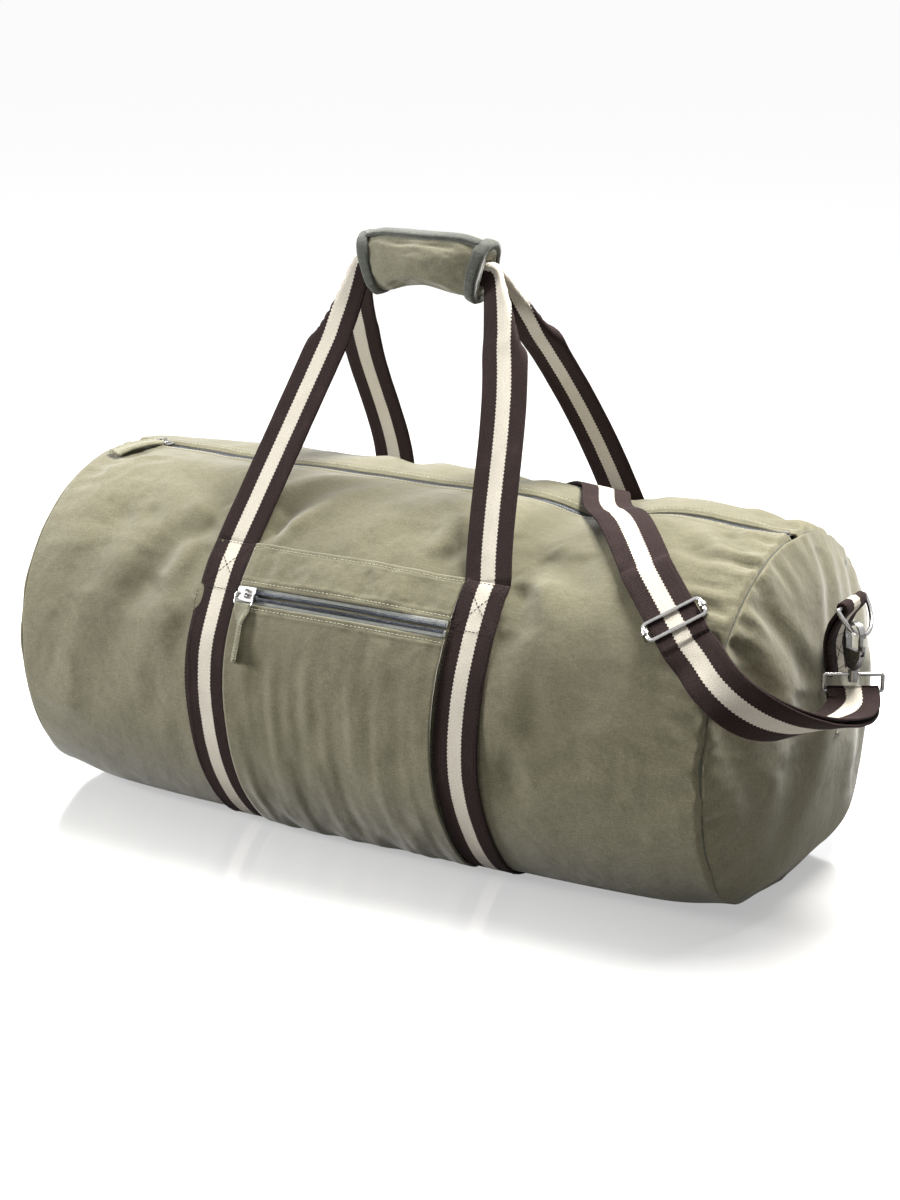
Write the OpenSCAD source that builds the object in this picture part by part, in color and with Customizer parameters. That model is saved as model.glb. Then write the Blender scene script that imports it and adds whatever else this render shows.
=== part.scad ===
// Barrel bag of lined canvas with striped webbing handles, a padded grip and a clip-on shoulder strap.
// The origin is on the floor under the middle of the bag. +X runs along the barrel, +Z is up,
// and the pocket side faces -Y. Angles round the barrel count from the top, over the pocket side.

/* [Barrel] */
// Diameter of the barrel
bag_d = 280; // [240:5:320]
// Length of the barrel from end seam to end seam
bag_l = 530; // [480:10:600]
// How far each end panel bulges past its seam
end_bulge = 32; // [28:1:36]
// How far the underside is pressed flat
flat_drop = 32; // [24:2:40]
// Length over which each end narrows towards its seam
neck_l = 150; // [120:5:165]
// Thickness of the canvas with its lining
canvas_t = 2.2; // [1.8:0.2:2.6]
// Width of the binding tape inside each end seam
binding_w = 10; // [8:1:14]
// Thickness of the binding tape
binding_t = 1.2; // [0.8:0.2:1.6]

/* [Webbing] */
// Width of the striped webbing
webbing_w = 33; // [30:1:36]
// Thickness of the striped webbing
webbing_t = 2; // [1.6:0.2:2.2]
// Distance between the middles of the two bands round the barrel
band_spacing = 196; // [180:4:220]
// Angle from the top at which the handles leave the barrel
handle_angle = 46.5; // [42:0.5:50]

/* [Grip] */
// Height of the middle of the grip above the floor
grip_rise = 392.5; // [370:0.5:410]
// Length of the padded grip along its arc
grip_l = 91; // [80:1:110]
// Width of the padded grip from front to back
grip_w = 48; // [42:1:54]
// Depth of the padded grip from top to bottom
grip_h = 30; // [28:1:36]
// Radius of the grip's arc
grip_arc_r = 160; // [120:5:220]
// How far the middle of the grip leans towards the left end
grip_lean = 8; // [0:1:12]
// Width of the folded webbing inside the grip
fold_w = 17; // [15:1:20]
// Length of the binding at each end of the grip
grip_edge_l = 7; // [5:1:9]
// Thickness of that binding
grip_edge_t = 1.2; // [0.8:0.2:1.6]

/* [Main zip] */
// Width of the gap between the canvas edges at the zip
zip_gap = 11; // [11:0.5:14]
// Width of each zip tape
tape_w = 12; // [10:0.5:14]
// Thickness of each zip tape
tape_t = 0.8; // [0.6:0.1:1]
// Width of each row of the coil
coil_w = 2.5; // [2.2:0.1:2.6]
// Height of the coil above its tape
coil_h = 2; // [1.6:0.1:2.2]
// Distance from the left seam to the closed slider
slider_inset = 29; // [26:1:50]
// Length of a slider
slider_l = 14; // [12:0.5:16]
// Width of a slider
slider_w = 10; // [9.8:0.1:10.2]
// Length of the cloth puller of the main zip
puller_l = 38; // [30:1:44]
// Width of a cloth puller
puller_w = 12; // [9:0.5:13]
// Thickness of a cloth puller
puller_t = 3; // [2.4:0.2:3.2]
// Upward tilt of the main puller at rest
puller_tilt = 7; // [6:0.5:12]

/* [Pocket] */
// Angle from the top of the pocket's upper edge
pocket_top_angle = 46; // [44:0.5:48]
// Angle from the top of the pocket zip
pocket_zip_angle = 61.3; // [60:0.1:64]
// Angle from the top of the pocket's lower edge, under the bag
pocket_low_angle = 150; // [130:2:160]
// Thickness of the pocket cloth
pocket_t = 1.5; // [1.2:0.1:1.8]
// How far the pocket stands off the barrel at its fullest
pocket_puff = 3.4; // [3.2:0.1:4.5]
// Width of the zip tapes seen in the pocket's mouth
pocket_mouth = 11; // [11:0.5:13]
// Distance from the pocket's left edge to the closed slider
pocket_slider_inset = 9; // [8:0.5:14]
// Length of the cloth puller of the pocket zip
pocket_puller_l = 40; // [30:1:42]
// Tilt of that puller in towards the pocket
pocket_puller_tilt = 8; // [5:0.5:8]

/* [Ring and clip] */
// Height of the ring's bar above the middle of the barrel
ring_rise = 88; // [80:0.5:92]
// Distance of the ring's bar past the end seam
ring_out = 39; // [38:0.5:46]
// How far the ring sits off the middle of the end panel
ring_aside = 2.5; // [0:0.5:6]
// Radius of the ring's arc, to the middle of its wire
ring_r = 22; // [19:0.5:23]
// Diameter of the ring's wire
ring_wire_d = 3; // [2.6:0.1:3.2]
// Outward tilt of the hanging ring
ring_tilt = 30; // [22:0.5:32]
// How far the tab is sewn down below the ring's bar
tab_l = 46; // [40:1:52]
// Distance of the hook from the ring's middle, along the ring
hook_aside = 13.5; // [10:0.5:14]
// Thickness of the hook
hook_t = 4.6; // [4:0.2:5]
// Turn of the hook about its swivel
hook_yaw = -30; // [-40:1:-20]
// Turn of the strap loop about the swivel
loop_yaw = 31; // [28:1:40]
// Distance between the two bars of the strap loop
loop_h = 11; // [10:0.5:13]
// Diameter of the wire of the strap loop and the adjuster
loop_wire_d = 2.6; // [2.2:0.1:2.8]

/* [Shoulder strap] */
// Travel of the adjuster along the strap
adjuster_travel = 30; // [20:1:34]
// Width of the adjuster along the strap
adjuster_l = 15.5; // [14:0.5:20]
// How far the hanging strap keeps the barrel's direction
drop_reach = 75; // [60:1:85]
// How far the hanging strap keeps the loop's direction
loop_reach = 22; // [18:1:40]

/* [Hidden] */

// Clearance between pieces that lie on each other
seat = 0.3;
// Running clearance of sliders
run_gap = 0.35;
// How far a cut passes through a face
overrun = 1;

// Shape of the barrel: crown height and end seam as shares of the radius, and the exponents of
// the end panel's dome and of the bend into the flat underside
crown_share = 0.972;
neck_share = 0.948;
dome_power = 2.3;
flat_power = 24;
// Half angle of the soft valley that the zip draws into the top
valley_angle = 12;
bag_r = bag_d / 2;
half_l = bag_l / 2;
crown_h = bag_r * crown_share;
zip_h = crown_h * neck_share;
press_h = bag_r - flat_drop;
flat_trim = 0.4;
bag_z = webbing_t + seat + press_h - flat_trim;
zip_z = bag_z + zip_h;
band_x = band_spacing / 2;
sheet_step = 6;
// Stations along half of the barrel, as shares of its half length
station_shares = [0.43, 0.54, 0.64, 0.74, 0.83, 0.92, 1];
// Rings of an end panel, as shares of its rim
ring_shares = [1, 0.86, 0.7, 0.5, 0.28];
dome_sides = 40;

function unit(v) = v / norm(v);
function flip(list) = [for (i = [len(list) - 1:-1:0]) list[i]];
function half_turn(p) = [-p[0], -p[1], p[2]];
function blend(a, b, t) = a * (1 - t) + b * t;
function ramp(t) = let (u = min(max(t, 0), 1)) u * u * (3 - 2 * u);
function fold_angle(a) = (a + 540) % 360 - 180;

// Width of the barrel along its length, as a share of its full width
function girth(x) =
    let (q = max(0, (abs(x) - (half_l - neck_l)) / neck_l)) 1 - (1 - neck_share) * q * q;
// Distance of the barrel's skin from its middle line, at a place along it and an angle from the
// top, or of a layer at some height off the skin; the underside is cut to one plane
function skin_r(x, a, valley = true, off = 0) =
    let (k = girth(x), c = cos(a), s = sin(a), plane_h = press_h + off,
         sag = valley ? (k * crown_h - zip_h) * exp(-pow(fold_angle(a) / valley_angle, 2)) : 0,
         free_r = k / sqrt(s * s / (bag_r * bag_r) + c * c / (crown_h * crown_h)) - sag + off)
    free_r * -c < plane_h / 2 ? free_r
        : min(free_r * pow(1 + pow(free_r * -c / plane_h, flat_power), -1 / flat_power),
            (plane_h - flat_trim) / -c);
function on_skin(x, a, off = 0, valley = true) =
    let (r = skin_r(x, a, valley, off)) [x, -r * sin(a), bag_z + r * cos(a)];
function outward(a) = [0, -sin(a), cos(a)];
// Bulge of the end panel past its seam at a place across it
function dome_x(y, z) =
    let (a = atan2(-y, z - bag_z), rho = norm([y, z - bag_z]) / skin_r(half_l, a, false))
    half_l + end_bulge * (1 - pow(min(rho, 1), dome_power));

// Smooth line through a list of points
function smooth(pts, steps) =
    let (p = concat([2 * pts[0] - pts[1]], pts, [2 * pts[len(pts) - 1] - pts[len(pts) - 2]]))
    concat(
        [for (i = [1:len(p) - 3], j = [0:steps - 1])
            let (t = j / steps)
            0.5 * (2 * p[i] + (p[i + 1] - p[i - 1]) * t
                + (2 * p[i - 1] - 5 * p[i] + 4 * p[i + 1] - p[i + 2]) * t * t
                + (3 * p[i] - p[i - 1] - 3 * p[i + 1] + p[i + 2]) * t * t * t)],
        [pts[len(pts) - 1]]);
function bezier(p, t) =
    pow(1 - t, 3) * p[0] + 3 * t * pow(1 - t, 2) * p[1] + 3 * t * t * (1 - t) * p[2] + t * t * t * p[3];
function heading(path, i) =
    unit(path[min(i + 1, len(path) - 1)] - path[max(i - 1, 0)]);

// A flat band swept along a path: a side direction, a width and a thickness at each station; the
// ends are cut square, or level with their side directions
module ribbon(path, sides, widths, depths, level_ends = false) {
    n = len(path);
    pts = [for (i = [0:n - 1])
        let (t = heading(path, i), raw = is_list(sides[0]) ? sides[i] : sides,
             w = is_list(widths) ? widths[i] : widths, d = is_list(depths) ? depths[i] : depths,
             level = level_ends && (i == 0 || i == n - 1),
             s = unit(level ? raw : raw - (raw * t) * t) * w / 2, u = unit(cross(t, s)) * d / 2)
        each [path[i] - s - u, path[i] + s - u, path[i] + s + u, path[i] - s + u]];
    sides_f = [for (i = [0:n - 2], j = [0:3])
        let (a = 4 * i + j, b = 4 * i + (j + 1) % 4)
        each (j == 2 ? [[a, a + 4, b], [b, a + 4, b + 4]] : [[a, b + 4, b], [a, a + 4, b + 4]])];
    last = 4 * (n - 1);
    polyhedron(pts, concat([[0, 2, 3], [0, 1, 2]], sides_f,
        [[last, last + 2, last + 1], [last, last + 3, last + 2]]), convexity = 10);
}

// A closed flat band, such as a binding round a seam
module loop_ribbon(path, sides, w, d) {
    n = len(path);
    pts = [for (i = [0:n - 1])
        let (t = unit(path[(i + 1) % n] - path[(i + n - 1) % n]),
             s = unit(sides - (sides * t) * t) * w / 2, u = unit(cross(t, s)) * d / 2)
        each [path[i] - s - u, path[i] + s - u, path[i] + s + u, path[i] - s + u]];
    polyhedron(pts, [for (i = [0:n - 1], j = [0:3])
        let (a = 4 * i + j, b = 4 * i + (j + 1) % 4, c = 4 * ((i + 1) % n) + (j + 1) % 4,
             e = 4 * ((i + 1) % n) + j) each [[a, c, b], [a, e, c]]], convexity = 10);
}

// Panels of the barrel
// The main panel is one sheet round the barrel, open along the zip
skin_stations = concat([for (s = flip(station_shares)) -s], [0], station_shares) * half_l;
gap_angle = asin(zip_gap / 2 / zip_h);
skin_turns = ceil((360 - 2 * gap_angle) / sheet_step);
skin_angles = [for (i = [0:skin_turns]) gap_angle + i * (360 - 2 * gap_angle) / skin_turns];

module body_panel() {
    nx = len(skin_stations);
    na = len(skin_angles);
    outer = [for (x = skin_stations, a = skin_angles) on_skin(x, a)];
    inner = [for (x = skin_stations, a = skin_angles) on_skin(x, a, -canvas_t)];
    m = nx * na;
    skin = [for (i = [0:nx - 2], j = [0:na - 2])
        let (a = i * na + j, b = a + 1, c = a + na + 1, e = a + na)
        each [[a, c, b], [a, e, c], [m + a, m + b, m + c], [m + a, m + c, m + e]]];
    rims = [for (i = [0, nx - 1], j = [0:na - 2])
        let (a = i * na + j, b = a + 1)
        each (i == 0 ? [[a, b, m + b], [a, m + b, m + a]] : [[a, m + b, b], [a, m + a, m + b]])];
    lips = [for (j = [0, na - 1], i = [0:nx - 2])
        let (a = i * na + j, b = a + na)
        each (j == 0 ? [[a, m + b, b], [a, m + a, m + b]] : [[a, b, m + b], [a, m + b, m + a]])];
    color("#8f8b70") polyhedron(concat(outer, inner), concat(skin, rims, lips), convexity = 10);
}

// An end panel is a shallow dome whose rim follows the barrel's end
module end_panel() {
    n = dome_sides;
    rings = len(ring_shares);
    start_x = half_l + seat;
    function skin(rho, a, sink) =
        let (r = (skin_r(half_l, a, false) - sink) * rho)
        [start_x + (end_bulge - sink) * (1 - pow(rho, dome_power)), -r * sin(a), bag_z + r * cos(a)];
    outer = [for (rho = ring_shares, i = [0:n - 1]) skin(rho, i * 360 / n, 0)];
    inner = [for (rho = ring_shares, i = [0:n - 1]) skin(rho, i * 360 / n, canvas_t)];
    m = rings * n;
    tips = [[start_x + end_bulge, 0, bag_z], [start_x + end_bulge - canvas_t, 0, bag_z]];
    walls = [for (k = [0:rings - 2], i = [0:n - 1])
        let (a = k * n + i, b = k * n + (i + 1) % n, c = b + n, e = a + n)
        each [[a, c, b], [a, e, c], [m + a, m + b, m + c], [m + a, m + c, m + e]]];
    fans = [for (i = [0:n - 1])
        let (a = (rings - 1) * n + i, b = (rings - 1) * n + (i + 1) % n)
        each [[a, 2 * m, b], [m + a, m + b, 2 * m + 1]]];
    rim = [for (i = [0:n - 1]) let (b = (i + 1) % n) each [[i, b, m + b], [i, m + b, m + i]]];
    color("#8f8b70") polyhedron(concat(outer, inner, tips), concat(walls, fans, rim), convexity = 10);
}

// The binding covers the seam allowance inside each end
module seam_binding() {
    off = -(canvas_t + seat + binding_t / 2);
    loop = [for (i = [0:skin_turns])
        on_skin(half_l, skin_angles[i], off - (i == 0 || i == skin_turns ? tape_room : 0), false)
            - [binding_w / 2, 0, 0]];
    color("#55574a") loop_ribbon(loop, [1, 0, 0], binding_w, binding_t);
}

// Bands of webbing round the barrel
band_off = seat + webbing_t / 2;
band_start = handle_angle + (seat + webbing_t / 4) / bag_r * 180 / PI;
band_angles = concat([band_start],
    [for (a = skin_angles) if (abs(a - 180) < 180 - band_start - sheet_step / 4) a], [360 - band_start]);
module webbing_band(side) {
    color("#3a2a2c")
        ribbon([for (a = band_angles) on_skin(side * band_x, a, band_off)], [1, 0, 0],
            webbing_w, webbing_t);
}

// Handles
// Each strand bows out on its way up, and the pair leans a little to one end
front_bow = 5;
rear_bow = 11;
front_sway = 5;
rear_sway = -4;
rear_slump = 8;
strand_steps = 14;
exit_l = 7;
fold_start_share = 0.68;
fold_end_share = 0.94;
grip_half_angle = grip_l / 2 / grip_arc_r * 180 / PI;
exit_angle = grip_half_angle + exit_l / grip_arc_r * 180 / PI;
grip_arc_z = grip_rise - grip_arc_r;
handle_off = (2 * webbing_t + seat) / 2;
function on_grip(a, y) =
    [grip_arc_r * sin(a) - grip_lean, y, grip_arc_z + grip_arc_r * cos(a)];
// Path of one strand from the barrel to the grip's end; side is 1 at the right, face -1 at the front
function strand(side, face) =
    let (low = on_skin(side * band_x, -face * handle_angle, band_off),
         high = on_grip(side * exit_angle, face * handle_off),
         bow = face < 0 ? front_bow : rear_bow, sway = face < 0 ? front_sway : rear_sway,
         slump = face < 0 ? 0 : rear_slump)
    [for (i = [0:strand_steps])
        let (c = i / strand_steps, bump = 6.75 * c * c * (1 - c), dip = 6.75 * c * (1 - c) * (1 - c))
        blend(low, high, c) + [side * bow * bump + sway * bump, slump * dip, 0]];
grip_steps = 8;
function handle_path(face) = concat(strand(1, face),
    [for (i = [0:grip_steps]) on_grip(grip_half_angle * (1 - 2 * i / grip_steps), face * handle_off)],
    flip(strand(-1, face)));
function fold_at(i) =
    let (n = 2 * strand_steps + grip_steps + 2, c = min(i, n - i) / strand_steps)
    ramp((c - fold_start_share) / (fold_end_share - fold_start_share));
module handle(face) {
    path = handle_path(face);
    n = len(path);
    folds = [for (i = [0:n - 1]) fold_at(i)];
    color("#3a2a2c")
        ribbon(path,
            [for (i = [0:n - 1]) let (t = heading(path, i))
                blend([i < n / 2 ? -1 : 1, 0, 0], unit([-t[2], 0, t[0]]), folds[i])],
            [for (f = folds) blend(webbing_w, fold_w, f)],
            [for (f = folds) blend(webbing_t, 2 * webbing_t, f)], true);
}

// Padded grip round both handles, bound at its ends and along its flap
grip_power = 2.4;
grip_points = 32;
function oval(w, h) = [for (i = [0:grip_points - 1])
    let (t = i * 360 / grip_points, c = cos(t), s = sin(t))
    [h / 2 * sign(c) * pow(abs(c), 2 / grip_power), w / 2 * sign(s) * pow(abs(s), 2 / grip_power)]];
slot_w = 2 * (2 * webbing_t + seat) + seat;
slot_h = fold_w + 2 * seat;
flap_angle = 62;
flap_w = 6;
// Sweeps a section along the grip's arc between two angles
module along_grip(from, to) {
    translate([-grip_lean, 0, grip_arc_z]) rotate([90, 0, 0]) rotate([0, 0, 90 + from])
        rotate_extrude(angle = to - from, $fn = 96) translate([grip_arc_r, 0]) children();
}
module grip_wrap() {
    color("#8f8b70") along_grip(-grip_half_angle, grip_half_angle) difference() {
        polygon(oval(grip_w, grip_h));
        square([slot_h, slot_w], center = true);
    }
}
module grip_binding() {
    edge_angle = grip_edge_l / grip_arc_r * 180 / PI;
    grow = 2 * (grip_edge_t + seat);
    color("#4b4d42") {
        for (side = [-1, 1])
            along_grip(side < 0 ? -grip_half_angle : grip_half_angle - edge_angle,
                side < 0 ? edge_angle - grip_half_angle : grip_half_angle) difference() {
                polygon(oval(grip_w + grow, grip_h + grow));
                polygon(oval(grip_w + 2 * seat, grip_h + 2 * seat));
            }
        along_grip(edge_angle - grip_half_angle, grip_half_angle - edge_angle) intersection() {
            difference() {
                polygon(oval(grip_w + grow, grip_h + grow));
                polygon(oval(grip_w + 2 * seat, grip_h + 2 * seat));
            }
            rotate(flap_angle) translate([0, -flap_w / 2]) square([grip_w, flap_w]);
        }
    }
}

// Zips
// A zip lies along X with its tape's outer face at z = 0 and its slider at x = 0
coil_gap = 0.8;
plate_t = 1.2;
flange_t = 1.1;
post_w = 2 * (coil_gap - run_gap);
post_l = 3;
slider_tail_share = 0.8;
crown_l = 2.4;
crown_w = 6;
crown_leg = 1.1;
crown_rise = 3.4;
bail_wire_d = 1.4;
bail_rise = 1.45;
bail_l = 8;
hinge_h = coil_h + run_gap + plate_t + bail_rise;
// Depth below the canvas edge at which the main zip's tape lies, and the room the tape needs
tape_sink = 0.9;
tape_room = 3;
tape_top = zip_z - canvas_t - tape_sink;
stop_l = 4;
zip_l = bag_l - 2 * (binding_w / 2 + seat);
slider_x = slider_inset - half_l;

module zip_tape(length, side, w) {
    translate([-length / 2, side > 0 ? coil_gap : -coil_gap - w, -tape_t]) cube([length, w, tape_t]);
}
// A coil row is a half-round bead on its tape
module zip_coil(length, side) {
    translate([-length / 2, side * (coil_gap + coil_w / 2), 0]) rotate([90, 0, 90])
        linear_extrude(length) intersection() {
            circle(r = coil_h, $fn = 24);
            translate([-coil_w / 2, 0]) square([coil_w, coil_h]);
        }
}
// The slider straddles both coil rows; its post runs in the slot between them
module zip_slider() {
    top_z = coil_h + run_gap;
    low_z = -tape_t - run_gap - plate_t;
    flange_y = coil_gap + coil_w + run_gap;
    tail_y = slider_w / 2 * slider_tail_share;
    color("#a7a9a6") {
        for (z = [top_z, low_z]) translate([0, 0, z]) linear_extrude(plate_t)
            polygon([[-slider_l / 2, -tail_y], [0, -slider_w / 2], [slider_l / 2, -slider_w / 2],
                [slider_l / 2, slider_w / 2], [0, slider_w / 2], [-slider_l / 2, tail_y]]);
        for (side = [-1, 1]) translate([-slider_l / 2, side > 0 ? flange_y : -flange_y - flange_t / 2, run_gap])
            cube([slider_l, flange_t / 2, top_z + plate_t / 2 - run_gap]);
        translate([slider_l / 2 - post_l - plate_t, -post_w / 2, low_z + plate_t / 2])
            cube([post_l, post_w, top_z - low_z]);
        // Crown that holds the puller's wire
        translate([0, 0, top_z + plate_t]) rotate([90, 0, 90]) translate([0, 0, -crown_l / 2])
            linear_extrude(crown_l) difference() {
                translate([-crown_w / 2, -plate_t / 2]) square([crown_w, crown_rise + plate_t / 2]);
                translate([-crown_w / 2 + crown_leg, 0])
                    square([crown_w - 2 * crown_leg, crown_rise - crown_leg]);
            }
    }
}
// A wire ring of two straight bars and two straight sides with round corners, in the XY plane
module wire_frame(len_x, len_y, corner_r, wire_d) {
    for (side = [-1, 1]) {
        translate([corner_r - len_x / 2, side * len_y / 2, 0]) rotate([0, 90, 0])
            cylinder(d = wire_d, h = len_x - 2 * corner_r, $fn = 16);
        translate([side * len_x / 2, len_y / 2 - corner_r, 0]) rotate([90, 0, 0])
            cylinder(d = wire_d, h = len_y - 2 * corner_r, $fn = 16);
        for (end = [-1, 1])
            translate([side * (len_x / 2 - corner_r), end * (len_y / 2 - corner_r), 0])
                rotate([0, 0, side > 0 ? (end > 0 ? 0 : -90) : (end > 0 ? 90 : 180)])
                    rotate_extrude(angle = 90, $fn = 32) translate([corner_r, 0])
                        circle(d = wire_d, $fn = 16);
    }
}
bail_corner_r = 1.6;
bail_half = puller_w / 2 + bail_wire_d / 2 + seat;
// The bail and its puller lie along -Y from the crown's hinge, which is at the origin
module bail() {
    color("#a7a9a6") translate([0, -bail_l / 2, 0])
        wire_frame(2 * bail_half, bail_l, bail_corner_r, bail_wire_d);
}
module puller(length) {
    color("#84805f") difference() {
        union() {
            translate([-puller_w / 2, -bail_l - length, -puller_t / 2])
                cube([puller_w, length, puller_t]);
            translate([-puller_w / 2, -bail_l, 0]) rotate([0, 90, 0])
                cylinder(d = puller_t, h = puller_w, $fn = 32);
        }
        translate([-puller_w / 2 - overrun, -bail_l, 0]) rotate([0, 90, 0])
            cylinder(d = bail_wire_d + 2 * swivel_gap, h = puller_w + 2 * overrun, $fn = 32);
    }
}
module at_main_zip(x) translate([x, 0, tape_top]) children();
module at_main_hinge() at_main_zip(slider_x) translate([0, 0, hinge_h])
    rotate([-puller_tilt, 0, 0]) children();

module main_zip_tape(side) color("#6d7477") at_main_zip(0) zip_tape(zip_l, side, tape_w - coil_gap);
module main_zip_coil(side) color("#2e3036") at_main_zip(0) zip_coil(zip_l - 2 * stop_l, side);
module main_zip_stops() {
    stop_w = coil_w;
    color("#a7a9a6") for (end = [-1, 1], side = [-1, 1])
        at_main_zip(end * (zip_l / 2 - stop_l / 2))
            translate([-stop_l / 2 + (end < 0 ? 0 : seat), side > 0 ? coil_gap : -coil_gap - stop_w, 0])
                cube([stop_l - seat, stop_w, coil_h]);
}
module main_zip_slider() at_main_zip(slider_x) zip_slider();
module main_zip_bail() at_main_hinge() bail();
module main_zip_puller() at_main_hinge() puller(puller_l);

// Pocket on the front of the barrel
pocket_half = band_x - webbing_w / 2 - seat;
pocket_swell = 0.5;
function pocket_off(a) = seat + pocket_puff
    * pow(sin(180 * (a - pocket_top_angle) / (pocket_low_angle - pocket_top_angle)), pocket_swell);
mouth_angle = (pocket_mouth / 2 + seat) / bag_r * 180 / PI;
strip_low_angle = pocket_zip_angle - mouth_angle;
panel_top_angle = pocket_zip_angle + mouth_angle;
strip_turns = 6;
panel_turns = 20;
pocket_tape_n = pocket_off(pocket_zip_angle) + pocket_t - tape_t / 2;
pocket_slider_x = pocket_slider_inset - pocket_half;
module pocket_sheet(from, to, turns) {
    color("#8f8b70")
        ribbon([for (i = [0:turns]) let (a = blend(from, to, i / turns))
            on_skin(0, a, pocket_off(a) + pocket_t / 2)], [1, 0, 0], 2 * pocket_half, pocket_t);
}
module at_pocket_zip(x) translate(on_skin(x, pocket_zip_angle, pocket_tape_n))
    rotate([pocket_zip_angle, 0, 0]) children();
module at_pocket_hinge() at_pocket_zip(pocket_slider_x) translate([0, 0, hinge_h])
    rotate([pocket_puller_tilt, 0, 0]) children();
pocket_zip_l = 2 * pocket_half;
module pocket_zip_tape(side)
    color("#6d7477") at_pocket_zip(0) zip_tape(pocket_zip_l, side, pocket_mouth / 2 - coil_gap);
module pocket_zip_coil(side) color("#23283a") at_pocket_zip(0) zip_coil(pocket_zip_l, side);
module pocket_zip_slider() at_pocket_zip(pocket_slider_x) zip_slider();
module pocket_zip_bail() at_pocket_hinge() bail();
module pocket_zip_puller() at_pocket_hinge() puller(pocket_puller_l);

// Rings and clips on the end panels; the left end is the right end turned half round
ring_x = half_l + ring_out;
ring_z = bag_z + ring_rise;
ring_span = 2 * ring_r;
module at_end(side) rotate([0, 0, side > 0 ? 0 : 180]) children();
module at_ring() translate([ring_x, ring_aside, ring_z]) children();

module d_ring() {
    color("#a7a9a6") at_ring() rotate([0, -ring_tilt, 0]) {
        rotate([90, 0, 0]) translate([0, 0, -ring_span / 2]) cylinder(d = ring_wire_d, h = ring_span, $fn = 16);
        rotate([0, 90, 0]) rotate([0, 0, -90]) rotate_extrude(angle = 180, $fn = 48)
            translate([ring_r, 0]) circle(d = ring_wire_d, $fn = 16);
        for (side = [-1, 1]) translate([0, side * ring_r, 0]) sphere(d = ring_wire_d, $fn = 16);
    }
}
// The tab is a strip sewn low on the end panel, folded over the ring's bar and sewn down again
tab_off = seat + webbing_t / 2;
tab_turn_r = ring_wire_d / 2 + seat + webbing_t / 2;
tab_low_z = ring_z - tab_l;
tab_lift_shares = [0, 0.3, 0.56, 0.78];
tab_turns = 8;
module ring_tab() {
    function on_end(z, off) = [dome_x(ring_aside, z) + seat + off, ring_aside, z];
    function tab_at(share, layer) =
        let (z = tab_low_z + tab_l * share, out = ramp((share - 0.3) / 0.8),
             near = on_end(z, tab_off + layer * (webbing_t + seat)),
             far = [ring_x + (layer == 0 ? -tab_turn_r : tab_turn_r), ring_aside, z])
        blend(near, far, out);
    turn = [for (i = [0:tab_turns]) let (a = 180 * i / tab_turns)
        [ring_x - tab_turn_r * cos(a), ring_aside, ring_z + tab_turn_r * sin(a)]];
    below = [0, 0, -tab_turn_r];
    color("#3a2a2c")
        ribbon(concat([for (s = tab_lift_shares) tab_at(s, 0)], [turn[0] + below], turn,
            [turn[tab_turns] + below], [for (s = flip(tab_lift_shares)) tab_at(s, 1)]),
            [0, 1, 0], webbing_w, webbing_t);
}

// Place where the hook hangs on the ring
hook_drop = sqrt(ring_r * ring_r - hook_aside * hook_aside);
hook_x = ring_x + hook_drop * sin(ring_tilt);
hook_y = ring_aside - hook_aside;
hook_wire_z = ring_z - hook_drop * cos(ring_tilt);
// Sizes of the trigger hook, measured up from the loop's upper bar
eye_r = 5.5;
hook_r = 8.1;
eye_z = 26.5;
eye_low_z = 16.5;
shoulder_z = 13;
neck_z = 3.7;
neck_w = 6;
mouth_z = 17;
mouth_top_z = 25.2;
hang_gap = 4.6;
eye_bevel_r = 1.3;
eye_bevel_t = 1.6;
gate_w = 2.2;
gate_u = 5.9;
gate_pivot_z = 15;
gate_pin_d = 1.6;
gate_eye_r = 1.3;
gate_nub_l = 2.2;
gate_nub_h = 3;
gate_cheek_gap = 0.25;
swivel_d = 3.6;
swivel_gap = 0.1;
swivel_head_d = 6;
swivel_head_h = 1.3;
boss_d = 6.8;
boss_h = 6.4;
loop_z = hook_wire_z - eye_z - eye_r + hang_gap;
loop_len = webbing_w + 2 * overrun + loop_wire_d;
loop_corner_r = 1.6;
module at_clip(yaw) translate([hook_x, hook_y, loop_z]) rotate([0, 0, yaw]) children();

module clip_loop() {
    color("#a7a9a6") at_clip(loop_yaw) difference() {
        union() {
            translate([0, 0, -loop_h / 2]) rotate([90, 0, 0])
                wire_frame(loop_len, loop_h, loop_corner_r, loop_wire_d);
            translate([0, 0, -boss_h / 2]) cylinder(d = boss_d, h = boss_h, $fn = 48);
        }
        translate([0, 0, -boss_h / 2 - overrun])
            cylinder(d = swivel_d + 2 * swivel_gap, h = boss_h + 2 * overrun, $fn = 48);
    }
}
module hook_outline() {
    difference() {
        union() {
            translate([0, eye_z]) circle(r = hook_r, $fn = 48);
            translate([-hook_r, shoulder_z]) square([2 * hook_r, eye_z - shoulder_z]);
            polygon([[-neck_w / 2, neck_z], [neck_w / 2, neck_z], [hook_r, shoulder_z],
                [-hook_r, shoulder_z]]);
        }
        translate([0, eye_z]) circle(r = eye_r, $fn = 48);
        translate([-eye_r, eye_low_z]) square([2 * eye_r, eye_z - eye_low_z]);
        translate([0, mouth_z]) square([hook_r + overrun, mouth_top_z - mouth_z]);
    }
}
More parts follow.
